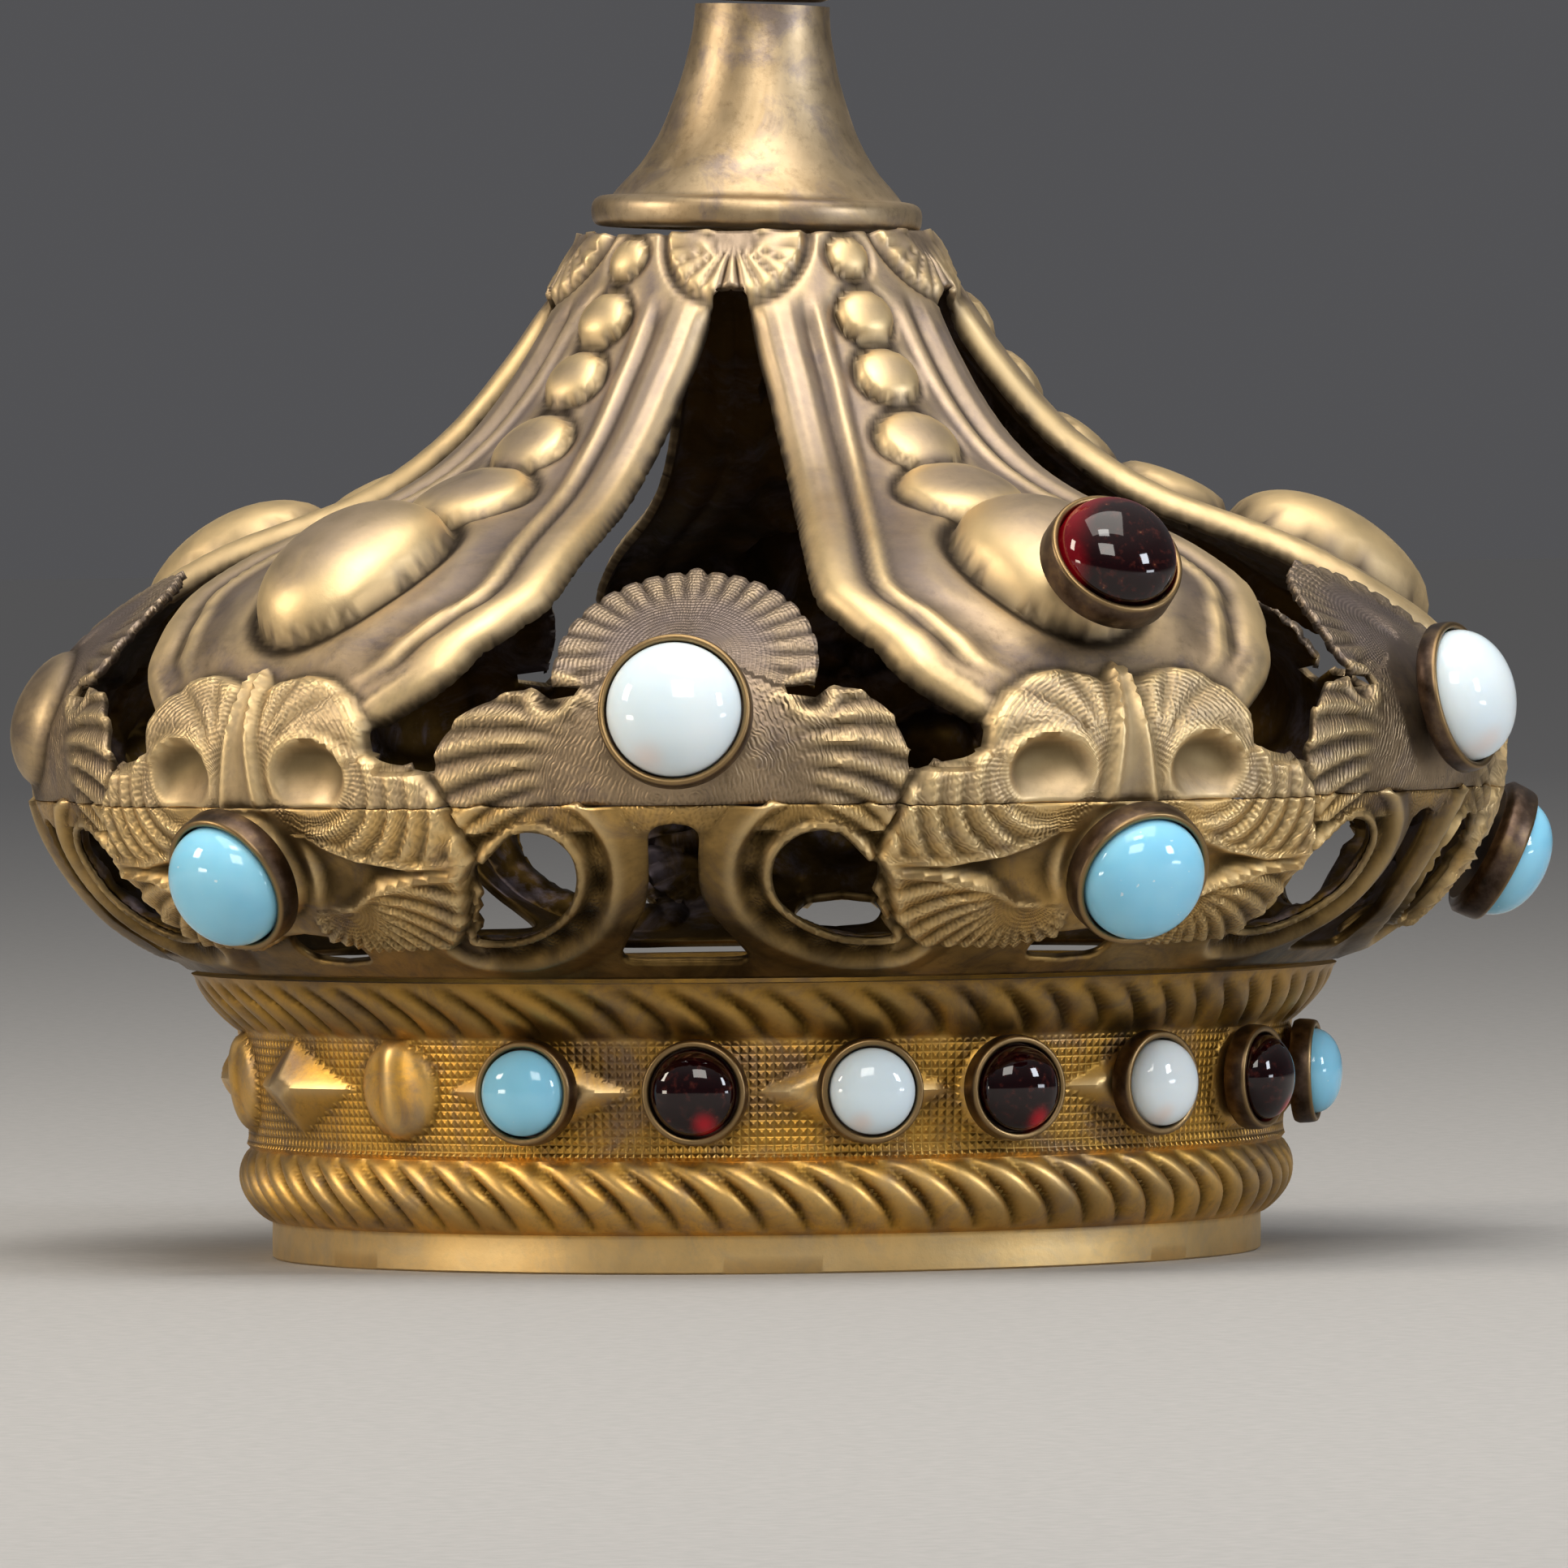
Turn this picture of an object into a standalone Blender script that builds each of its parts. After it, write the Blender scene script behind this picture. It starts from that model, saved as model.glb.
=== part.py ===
"""Ceremonial crown of stamped and gilt brass set with glass cabochons.

Metres, +Z up. The crown stands on the plain skirt of its circlet. Its front, the arch
that carries a garnet, faces -Y. The origin is under the middle of the whole crown's box.

The openwork is two stampings, a lower bowl and an upper part with five palmettes and
five arches. Both are drawn on one flat pattern, as a metal worker would: degrees round
the crown, counted from the middle of the nearest arch, and millimetres up the sheet.
The pattern is cut into triangles, bent round the crown's outline, and given the sheet's
thickness. Only half of one arch is drawn, because the rest is its mirror image, repeated.
"""

import math

import bmesh
import bpy
import numpy as np
from mathutils import Matrix, Vector
from mathutils.geometry import delaunay_2d_cdt

MM = 0.001

# Fits and walls
GAP = 0.3 * MM
SHEET = 0.5 * MM

# Circlet: skirt, lower rope, field with bosses, upper rope
SKIRT_RADIUS = 29.4 * MM
SKIRT_HEIGHT = 2.3 * MM
LOWER_ROPE_HEIGHT = 4.6 * MM
FIELD_HEIGHT = 6.7 * MM
UPPER_ROPE_HEIGHT = 3.4 * MM
LOWER_ROPE_BULGE = 1.1 * MM
FIELD_RADIUS = 30.7 * MM
FIELD_FLARE = 0.7 * MM
RIM_RADIUS = 34.1 * MM
ROPE_STRANDS = 75
STRAND_DEPTH = 0.75 * MM
CIRCLET_WALL = 1.1 * MM
SHELF_WIDTH = 1.9 * MM
BOSS_HEIGHT = 1.1 * MM
BOSS_RADIUS = 2.9 * MM
LOZENGE_HALF_HEIGHT = 2.85 * MM

# Openwork body
ARCHES = 5
GIRTH_RADIUS = 43.5 * MM
BODY_RISE = 43.3 * MM
CROWN_TOP_RADIUS = 10.4 * MM

# Stones and their collets
LARGE_STONE_RADIUS = {"garnet": 3.55 * MM, "turquoise": 3.7 * MM, "opal": 3.87 * MM}
LARGE_STONE_DOME = {"garnet": 2.45 * MM, "turquoise": 2.55 * MM, "opal": 2.65 * MM}
SMALL_STONE_RADIUS = 2.5 * MM
SMALL_STONE_DOME = 1.5 * MM
SMALL_COLLET_HEIGHT = 1.3 * MM
COLLET_WALL = 0.3 * MM
COLLET_FLOOR = 0.4 * MM
STONE_SIDES = 10

# Finial
TRUMPET_RIM_INSET = 0.55 * MM
TRUMPET_RIM_RADIUS = CROWN_TOP_RADIUS - TRUMPET_RIM_INSET
TRUMPET_RIM_HEIGHT = 1.9 * MM
TRUMPET_HEIGHT = 13.4 * MM
TRUMPET_NECK_RADIUS = 4.0 * MM
TRUMPET_SEAT = 0.2 * MM
FINIAL_LEAN = math.radians(2.2)
LEAN_TOWARDS = math.radians(61.2)
COLLAR_RADIUS = 4.4 * MM
COLLAR_HEIGHT = 1.5 * MM
ORB_RADIUS = 5.3 * MM
CROSS_HEIGHT = 13.0 * MM
CROSS_SPAN = 9.6 * MM
CROSS_THICKNESS = 1.7 * MM

# Worked out from the sizes above
CIRCLET_HEIGHT = SKIRT_HEIGHT + LOWER_ROPE_HEIGHT + FIELD_HEIGHT + UPPER_ROPE_HEIGHT
FIELD_BOTTOM = SKIRT_HEIGHT + LOWER_ROPE_HEIGHT
FIELD_MIDDLE = FIELD_BOTTOM + 0.56 * FIELD_HEIGHT
FOOT_RADIUS = RIM_RADIUS + GAP
BODY_FOOT = CIRCLET_HEIGHT + GAP
SECTOR = 360.0 / ARCHES
HALF = SECTOR / 2.0


# Curves on the flat pattern

PATTERN_TOP = 63.4
SEAM = 13.85
SEAM_HALF_GAP = 0.5 * GAP / MM
DEGREE = 0.754


def smooth_curve(points, step):
    """Points about step apart on a smooth curve through the given ones."""
    knots = [np.array(p, float) for p in points]
    if len(knots) == 2:
        dense = [knots[0] + (knots[1] - knots[0]) * t for t in np.linspace(0, 1, 40)]
    else:
        knots = [2 * knots[0] - knots[1]] + knots + [2 * knots[-1] - knots[-2]]
        dense = [knots[1]]
        for a, b, c, d in zip(knots, knots[1:], knots[2:], knots[3:]):
            for t in np.linspace(0, 1, 17)[1:]:
                dense.append(0.5 * (2 * b + (c - a) * t + (2 * a - 5 * b + 4 * c - d) * t**2
                                    + (3 * b - a - 3 * c + d) * t**3))
    dense = np.array(dense)
    length = np.r_[0, np.cumsum(np.hypot(*np.diff(dense, axis=0).T))]
    count = max(1, round(length[-1] / step))
    places = np.linspace(0, length[-1], count + 1)
    return [(float(np.interp(s, length, dense[:, 0])), float(np.interp(s, length, dense[:, 1])))
            for s in places]


def body_outline():
    """Radius and height of the sheet's outer face from foot to top, in metres."""
    radius, rise = GIRTH_RADIUS, BODY_RISE
    return smooth_curve([
        (FOOT_RADIUS, BODY_FOOT),
        (0.905 * radius, BODY_FOOT + 0.084 * rise),
        (0.977 * radius, BODY_FOOT + 0.184 * rise),
        (1.000 * radius, BODY_FOOT + 0.284 * rise),
        (0.988 * radius, BODY_FOOT + 0.361 * rise),
        (0.915 * radius, BODY_FOOT + 0.465 * rise),
        (0.755 * radius, BODY_FOOT + 0.568 * rise),
        (0.556 * radius, BODY_FOOT + 0.645 * rise),
        (0.443 * radius, BODY_FOOT + 0.720 * rise),
        (0.351 * radius, BODY_FOOT + 0.822 * rise),
        (0.281 * radius, BODY_FOOT + 0.925 * rise),
        (CROWN_TOP_RADIUS, BODY_FOOT + rise),
    ], 0.25 * MM)


OUTLINE = np.array(body_outline())
OUTLINE_LENGTH = np.r_[0, np.cumsum(np.hypot(*np.diff(OUTLINE, axis=0).T))]


def on_outline(v):
    """Radius, height and outward normal at v millimetres up the pattern."""
    s = v / PATTERN_TOP * OUTLINE_LENGTH[-1]
    radius = float(np.interp(s, OUTLINE_LENGTH, OUTLINE[:, 0]))
    height = float(np.interp(s, OUTLINE_LENGTH, OUTLINE[:, 1]))
    ahead = min(s + 0.6 * MM, OUTLINE_LENGTH[-1])
    behind = max(s - 0.6 * MM, 0.0)
    along = np.array([np.interp(ahead, OUTLINE_LENGTH, OUTLINE[:, i])
                      - np.interp(behind, OUTLINE_LENGTH, OUTLINE[:, i]) for i in (0, 1)])
    along /= np.hypot(*along)
    return radius, height, float(along[1]), float(-along[0])


def sheet_elevation(v):
    """Degrees above the horizontal that the sheet faces at v."""
    _, _, out, up = on_outline(v)
    return math.degrees(math.atan2(up, out))


def settled(degrees, v):
    """A bearing as handling has left it: the front palmette leans towards the front arch."""
    aside = abs((degrees - LEANING_PALMETTE + 180.0) % 360.0 - 180.0)
    if v > SIDE_LOBE_TOP:
        share = 1.0 if aside < LOBE_REACH else 0.0
    else:
        share = float(np.interp(aside, [LOBE_REACH + 2.7, HALF - CONTACT[0]], [1.0, 0.0]))
    return degrees + share * float(np.interp(v, LEAN_HEIGHTS, [0.0, PALMETTE_LEAN]))


def bent(degrees, v, lift):
    """The place in space of a point of the pattern, lifted off the sheet by lift metres."""
    radius, height, out, up = on_outline(v)
    around = math.radians(settled(degrees, v))
    reach = radius + lift * out
    return Vector((reach * math.sin(around), -reach * math.cos(around), height + lift * up))


def from_arch(degrees):
    """Degrees from the middle of the nearest arch, 0 to HALF."""
    turned = (degrees + HALF) % SECTOR - HALF
    return abs(turned)


# Outlines of the openwork, each as degrees from the arch's middle and millimetres up

LOBE_MIDDLE = 23.1
LOBE_RADIUS = 7.5
LOBE_END = -18.0
FLUTES = 8
PALMETTE_BOSS = 18.9
MASK_BOSS = 10.1
MASK_BOSS_TOP = 2.4
MASK_BOSS_FOOT = 4.0
CONTACT = (17.7, 15.67)
LEANING_PALMETTE = -36.0
PALMETTE_LEAN = 1.25
LEAN_HEIGHTS = (8.0, 23.0)
SIDE_LOBE_TOP = 21.2
LOBE_REACH = 11.3
GARNET_SEAT = 25.6
TURQUOISE_SEAT = 10.7
GARNET_TILT = -15.8
TURQUOISE_TILT = 3.0
OPAL_TILT = -10.3
EYE = (6.7, 15.5)
EYE_RADIUS = 1.9
SCROLL_RIDGE = 2.3
BORDER_POINTS = 8
EGG_WIDEST = 31.3
EGG_BELOW = 7.0
EGG_ABOVE = 6.4
EGG_HALF_WIDTH = 5.1
EGG_HEIGHT = 3.2
BEADS = [(41.6, 3.75, 1.3), (47.8, 2.5, 0.8), (53.2, 1.95, 0.75), (57.6, 1.75, 0.7), (61.7, 1.3, 0.5)]

ARCH_EDGE = [(12.4, 18.8), (14.2, 19.8), (16.6, 21.2), (18.2, 22.7), (19.3, 24.3), (20.8, 25.6),
             (22.0, 27.0), (23.3, 28.5), (23.9, 31.0), (24.0, 36.0), (23.9, 41.5), (24.3, 46.8),
             (26.3, 52.2), (28.4, 55.2), (31.2, 58.9)]
GAP_TOP = [(31.2, 58.9), (32.6, 59.5), (HALF, 59.6)]
MASK_LOBE = [CONTACT, (16.6, 15.9), (15.2, 16.2), (13.3, 16.45), (11.9, 17.0)]
MASK_CORNER = [(11.9, 17.0), (11.7, 18.3), (12.4, 18.8)]
SIDE_LOBE = [(HALF - 10.4, 20.3), (HALF - 12.2, 20.7), (HALF - 14.7, 20.05), (HALF - 16.8, 18.75),
             (HALF - 18.0, 17.1), CONTACT]
NOTCH = [(HALF - 10.3, 20.9), (HALF - 7.9, 20.9), (HALF - 8.2, 20.1), (HALF - 10.4, 20.3)]
STEM_OPENING = [(HALF, 12.8), (HALF - 1.3, 12.6), (HALF - 1.95, 12.0), (HALF - 1.95, 10.5),
                (HALF - 2.05, 8.7), (HALF - 2.6, 7.0), (HALF - 3.7, 5.5), (HALF - 4.9, 3.85),
                (HALF - 5.8, 2.3), (HALF - 4.9, 1.6), (HALF, 1.55)]
SCROLL_EYE = [(HALF - 15.4, 10.3), (HALF - 12.8, 12.1), (HALF - 11.3, 12.3), (HALF - 9.6, 12.0),
              (HALF - 8.2, 11.0), (HALF - 7.8, 9.8), (HALF - 8.0, 8.6), (HALF - 8.7, 7.4),
              (HALF - 10.2, 6.2), (HALF - 12.1, 5.2), (HALF - 14.3, 4.5), (HALF - 16.5, 4.3),
              (HALF - 18.5, 4.4)]
SCROLL_EYE_BACK = [(HALF - 18.5, 4.4), (HALF - 17.8, 5.5), (HALF - 16.9, 6.9), (HALF - 16.5, 8.6),
                   (HALF - 16.2, 10.0), (HALF - 15.4, 10.3)]
FOOT_OPENING = [(0.0, 4.85), (2.4, 4.7), (3.6, 3.9), (4.2, 2.9), (3.5, 1.7), (0.0, 1.3)]
MASK_EDGE = [(0.0, 22.1), (1.4, 20.9), (5.0, 21.7), (7.5, 21.3), (10.0, 20.2), (11.5, 18.6),
             (11.7, 17.0), (13.3, 16.5), (16.6, 15.8), (18.1, 14.4), (20.0, 10.6), (18.9, 9.1),
             (18.0, 6.2), (15.6, 3.9), (7.0, 3.5), (2.5, 4.6), (0.0, 4.85)]


def flat(points):
    """Pattern points as plain millimetres, with degrees measured at the girth."""
    return [(w * DEGREE, v) for w, v in points]


def curve(points, step):
    """A smooth curve of the pattern in plain millimetres."""
    return smooth_curve(flat(points), step)


def joined(*runs):
    """Runs of points end to end, each run without its last point."""
    return [point for run in runs for point in run[:-1]]


def lobe_outline():
    """The palmette's fluted upper edge, from its peak to its notch."""
    points = []
    for i in range(2 * FLUTES + 1):
        turn = 90.0 - (90.0 - LOBE_END) * i / (2 * FLUTES)
        radius = LOBE_RADIUS + 0.6 * i / (2 * FLUTES)
        radius += 0.45 if i == 0 else (-0.3 if i % 2 else 0.05)
        x = radius * math.cos(math.radians(turn))
        points.append((HALF * DEGREE - x, LOBE_MIDDLE + radius * math.sin(math.radians(turn))))
    return points


def arch_edge_at(v):
    """Half the arch's width in degrees at v."""
    places = np.array(ARCH_EDGE + [(34.0, PATTERN_TOP)])
    return float(np.interp(v, places[:, 1], places[:, 0]))


def inside(x, y, outline):
    """Whether a point lies within a closed outline."""
    within = False
    for (ax, ay), (bx, by) in zip(outline, outline[1:] + outline[:1]):
        if (ay > y) != (by > y) and x < ax + (y - ay) * (bx - ax) / (by - ay):
            within = not within
    return within


def distance(x, y, path):
    """The distance from a point to a path of straight runs."""
    best = 1e9
    for (ax, ay), (bx, by) in zip(path, path[1:]):
        dx, dy = bx - ax, by - ay
        t = max(0.0, min(1.0, ((x - ax) * dx + (y - ay) * dy) / max(dx * dx + dy * dy, 1e-12)))
        best = min(best, math.hypot(x - ax - t * dx, y - ay - t * dy))
    return best


# Relief, in millimetres off the plain sheet

def swell(d, radius):
    """1 in the middle, 0 at the radius, smooth between."""
    return 0.5 + 0.5 * math.cos(math.pi * min(abs(d) / radius, 1.0))


def near_stone(degrees, places):
    """Whether a bearing is on the same arch or palmette as one of the stones."""
    return any(abs((degrees - at + 180.0) % 360.0 - 180.0) < 20.0 for at in places)


def arch_relief(w, v):
    """The arch's rolled borders, the grooves beside them, the egg and the beads."""
    radius = on_outline(v)[0] / MM
    from_edge = max(0.0, (arch_edge_at(v) - w) * math.radians(radius))
    border = float(np.interp(from_edge, [0.0, 0.5, 1.2, 2.0, 2.8, 3.3, 3.8, 5.5],
                             [-1.5, -0.75, -0.1, 0.2, 0.0, -0.4, -0.15, 0.0]))
    x = w * math.radians(radius)
    reach = EGG_ABOVE if v > EGG_WIDEST else EGG_BELOW
    out = math.hypot(x / EGG_HALF_WIDTH, (v - EGG_WIDEST) / reach)
    height = max(border, EGG_HEIGHT * math.sqrt(max(0.0, 1.0 - out * out)))
    for middle, bead_radius, rise in BEADS:
        d = math.hypot(x, v - middle) / bead_radius
        height = max(height, rise * math.sqrt(max(0.0, 1.0 - d * d)))
    return height


def mask_relief(degrees, v):
    """The leaf over the arch's foot: plate, spear, eyes and the boss that a stone stands on."""
    x = from_arch(degrees) * DEGREE
    edge = flat(MASK_EDGE)
    plate = 0.5 * min(1.0, distance(x, v, edge) / 0.8) if inside(x, v, edge) else 0.0
    half_width = 2.1 * (22.1 - v) / 8.6
    spear = 0.9 * max(0.0, 1.0 - x / half_width) if 12.5 < v < 22.0 else 0.0
    d = math.hypot(x - EYE[0] * DEGREE, v - EYE[1])
    eye = 0.5 * swell(d - EYE_RADIUS, 0.9) - 0.9 * swell(d, EYE_RADIUS)
    d = math.hypot(x, v - MASK_BOSS)
    if near_stone(degrees, TURQUOISE_PLACES):
        boss = 1.3 * min(1.0, max(0.0, (MASK_BOSS_FOOT - d) / (MASK_BOSS_FOOT - MASK_BOSS_TOP)))
    else:
        boss = 2.4 * swell(d, MASK_BOSS_FOOT)
    return max(plate + max(spear, 0.0) + eye, boss)


def palmette_relief(degrees, v):
    """The palmette's shell and its boss, which is pressed low under a stone."""
    p = (HALF - from_arch(degrees)) * DEGREE
    rise = 0.0 if near_stone(degrees, OPAL_PLACES) else 1.7
    d = math.hypot(p, v - PALMETTE_BOSS)
    boss = rise * math.sqrt(max(0.0, 1.0 - (d / 4.2) ** 2))
    dish = 0.25 * swell(max(0.0, d - 4.0), 4.5)
    return max(boss, dish)


def scroll_relief(w, v):
    """The bowl's C-scrolls: turned rim, groove, ridge and outer slope round each eye."""
    x = w * DEGREE
    eye = flat(SCROLL_EYE + SCROLL_EYE_BACK[1:])
    d = distance(x, v, eye)
    return float(np.interp(d, [0.0, 0.5, 1.0, 1.6, SCROLL_RIDGE, 3.0, 4.3],
                           [0.35, 0.3, 0.0, 0.1, 0.65, 0.5, 0.0]))


def crease_at(v):
    """Degrees from the arch's middle where the mask ends and the palmette's scroll starts."""
    return float(np.interp(v, [0.0, 4.4, 8.6, 10.4, 15.67], [17.0, 17.5, 19.5, 20.5, 17.7]))


def relief(degrees, v):
    """Millimetres that the outer face stands off the plain sheet."""
    w = from_arch(degrees)
    if v > CONTACT[1]:
        if w > arch_edge_at(v) + 0.6 and v < 32.0:
            return palmette_relief(degrees, v)
        height = arch_relief(w, v)
        return max(height, mask_relief(degrees, v)) if v < 23.0 else height
    if w < crease_at(v):
        return max(mask_relief(degrees, v), 0.0 if v > 5.0 or w < 5.0 else scroll_relief(w, v))
    return max(scroll_relief(w, v), palmette_relief(degrees, v) if v > SEAM - 3.0 else 0.0)


# Where the stones stand

GARNET_PLACES = [-0.8]
TURQUOISE_PLACES = [-SECTOR, 0.0, SECTOR]
OPAL_PLACES = [-HALF, HALF]
BAND_SLIP = 360.0 / (2 * ROPE_STRANDS)
SLIPPED_PAIRS = (0, 1)
BAND_STONES = [(-54.0, "turquoise"), (-36.0, "garnet"), (-18.0, "opal"), (-BAND_SLIP, "garnet"),
               (18.0 - BAND_SLIP, "opal"), (36.0 - BAND_SLIP, "garnet"),
               (54.0 - BAND_SLIP, "turquoise")]


# Making meshes

def material(name, colour, roughness, metallic, transmission=0.0):
    """A Principled BSDF with plain values."""
    made = bpy.data.materials.new(name)
    made.use_nodes = True
    made.diffuse_color = (*colour, 1.0)
    shader = made.node_tree.nodes["Principled BSDF"]
    shader.inputs["Base Color"].default_value = (*colour, 1.0)
    shader.inputs["Roughness"].default_value = roughness
    shader.inputs["Metallic"].default_value = metallic
    shader.inputs["Transmission Weight"].default_value = transmission
    return made


def add_object(name, mesh, finish, parent, smooth_angle=35.0):
    """An object of its own for a mesh, under the crown's empty."""
    if not mesh.materials:
        mesh.materials.append(finish)
        mesh.shade_smooth()
        mesh.set_sharp_from_angle(angle=math.radians(smooth_angle))
    piece = bpy.data.objects.new(name, mesh)
    bpy.context.collection.objects.link(piece)
    piece.parent = parent
    return piece


def finished(shape, name):
    """A mesh from a bmesh, with its faces pointing out."""
    bmesh.ops.recalc_face_normals(shape, faces=shape.faces)
    mesh = bpy.data.meshes.new(name)
    shape.to_mesh(mesh)
    shape.free()
    return mesh


def turned(name, outline, sides):
    """A closed outline of radius and height, turned round Z."""
    shape = bmesh.new()
    points = [shape.verts.new((radius, 0.0, height)) for radius, height in outline]
    pairs = list(zip(points, points[1:]))
    if outline[0][0] > 0.0 or outline[-1][0] > 0.0:
        pairs.append((points[-1], points[0]))
    edges = [shape.edges.new(pair) for pair in pairs]
    bmesh.ops.spin(shape, geom=points + edges, cent=(0, 0, 0), axis=(0, 0, 1),
                   angle=2 * math.pi, steps=sides, use_merge=True)
    bmesh.ops.remove_doubles(shape, verts=shape.verts, dist=0.00001)
    return finished(shape, name)


def pattern_triangles(outline, openings, inner_points):
    """The flat pattern cut into triangles that keep to its outline and openings."""
    points, edges = [], []
    for loop in [outline] + openings:
        start = len(points)
        points += loop
        edges += [(start + i, start + (i + 1) % len(loop)) for i in range(len(loop))]
    for x, v in inner_points:
        clear = min(distance(x, v, loop + loop[:1]) for loop in [outline] + openings)
        if clear > 0.35:
            points.append((x, v))
    cut = delaunay_2d_cdt([Vector(p) for p in points], edges, [], 0, 1e-5, True)
    places = [(p.x, p.y) for p in cut[0]]
    kept = []
    for face in cut[2]:
        x = sum(places[i][0] for i in face) / 3.0
        v = sum(places[i][1] for i in face) / 3.0
        if inside(x, v, outline) and not any(inside(x, v, hole) for hole in openings):
            kept.append(tuple(face))
    return places, kept


def sheet_mesh(name, outlines, openings, outer_points, inner_points):
    """Half an arch's pattern, mirrored, repeated, bent and made a sheet of its thickness.

    The outer face has the relief. The inner face follows it with fewer points. The two
    outlines differ only along the arch's middle, where the halves join.
    """
    shape = bmesh.new()
    faces_of = {}
    edge_uses = {}
    for outer, outline, guides in ((True, outlines[0], outer_points), (False, outlines[1], inner_points)):
        places, triangles = pattern_triangles(outline, openings, guides)
        corners = faces_of.setdefault(outer, {})

        def corner(x, v, side, turn):
            degrees = (turn + side * x / DEGREE) % 360.0
            key = (round(degrees * 1000) % 360000, round(v * 10000))
            if key not in corners:
                lift = relief(degrees, v) * MM - (0.0 if outer else SHEET)
                corners[key] = shape.verts.new(bent(degrees, v, lift))
            return key

        for arch in range(ARCHES):
            for side in (1, -1):
                for triangle in triangles:
                    keys = [corner(*places[i], side, arch * SECTOR) for i in triangle]
                    if len(set(keys)) < 3:
                        continue
                    shape.faces.new([corners[k] for k in keys])
                    if outer:
                        for a, b in zip(keys, keys[1:] + keys[:1]):
                            edge_uses.setdefault(frozenset((a, b)), []).append((a, b))
    front, back = faces_of[True], faces_of[False]
    for uses in edge_uses.values():
        if len(uses) == 1:
            a, b = uses[0]
            shape.faces.new([front[b], front[a], back[a], back[b]])
    bmesh.ops.triangulate(shape, faces=[f for f in shape.faces if len(f.verts) > 3])
    return finished(shape, name)


# The openwork

def ring_of_points(middle, radius, count, start=-90.0, sweep=180.0):
    """Points on an arc round a middle, in plain millimetres."""
    turns = [start + sweep * i / max(1, count - 1) for i in range(count)]
    return [(middle[0] + radius * math.cos(math.radians(t)),
             middle[1] + radius * math.sin(math.radians(t))) for t in turns]


def across(v, millimetres):
    """Plain millimetres on the pattern for a width across the real sheet at v."""
    return millimetres / math.radians(on_outline(v)[0] / MM) * DEGREE


def egg_points(share, count):
    """Points on a smaller egg inside the arch's egg, down one side."""
    points = []
    for i in range(count):
        turn = math.radians(-70.0 + 140.0 * i / (count - 1))
        reach = EGG_ABOVE if turn > 0.0 else EGG_BELOW
        v = EGG_WIDEST + share * reach * math.sin(turn)
        points.append((across(v, share * EGG_HALF_WIDTH * math.cos(turn)), v))
    return points


def arch_guides():
    """Points on the arch's border, egg and beads."""
    points = []
    for v in np.linspace(23.0, 57.0, BORDER_POINTS):
        points.append((arch_edge_at(v) * DEGREE - across(v, 1.8), float(v)))
    for v in np.linspace(24.0, 52.0, BORDER_POINTS):
        points.append((arch_edge_at(v) * DEGREE - across(v, 3.3), float(v)))
    points += egg_points(1.05, 7) + egg_points(0.7, 5)
    for middle, bead_radius, _rise in BEADS:
        for share in (-0.5, 0.5):
            points.append((across(middle, 0.87 * bead_radius), middle + share * bead_radius))
        points.append((across(middle, 0.5 * bead_radius), middle))
    return points


def mask_guides():
    """Points on the leaf's spear, eye and rim."""
    eye = (EYE[0] * DEGREE, EYE[1])
    points = ring_of_points(eye, EYE_RADIUS, 6, 30.0, 270.0) + [eye]
    return points + flat([(2.4, 14.9), (1.3, 18.6), (5.5, 21.0), (10.0, 19.2), (14.6, 15.0)])


def bowl_guides():
    """Points on the leaf below the seam and on the scrolls round the eyes."""
    points = ring_of_points((0.0, MASK_BOSS), MASK_BOSS_FOOT, 4, -60.0, 100.0)
    points += ring_of_points((0.0, MASK_BOSS), MASK_BOSS_TOP, 3, -60.0, 120.0)
    points += flat([(12.5, 10.2), (18.6, 11.2), (11.5, 12.4), (15.5, 6.2), (8.5, 5.2), (6.0, 2.4)])
    eye = curve(SCROLL_EYE, 3.4)
    for a, b in zip(eye, eye[1:]):
        along = Vector((b[0] - a[0], b[1] - a[1])).normalized()
        points.append((0.5 * (a[0] + b[0]) + SCROLL_RIDGE * along.y,
                       0.5 * (a[1] + b[1]) - SCROLL_RIDGE * along.x))
    return points


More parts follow.
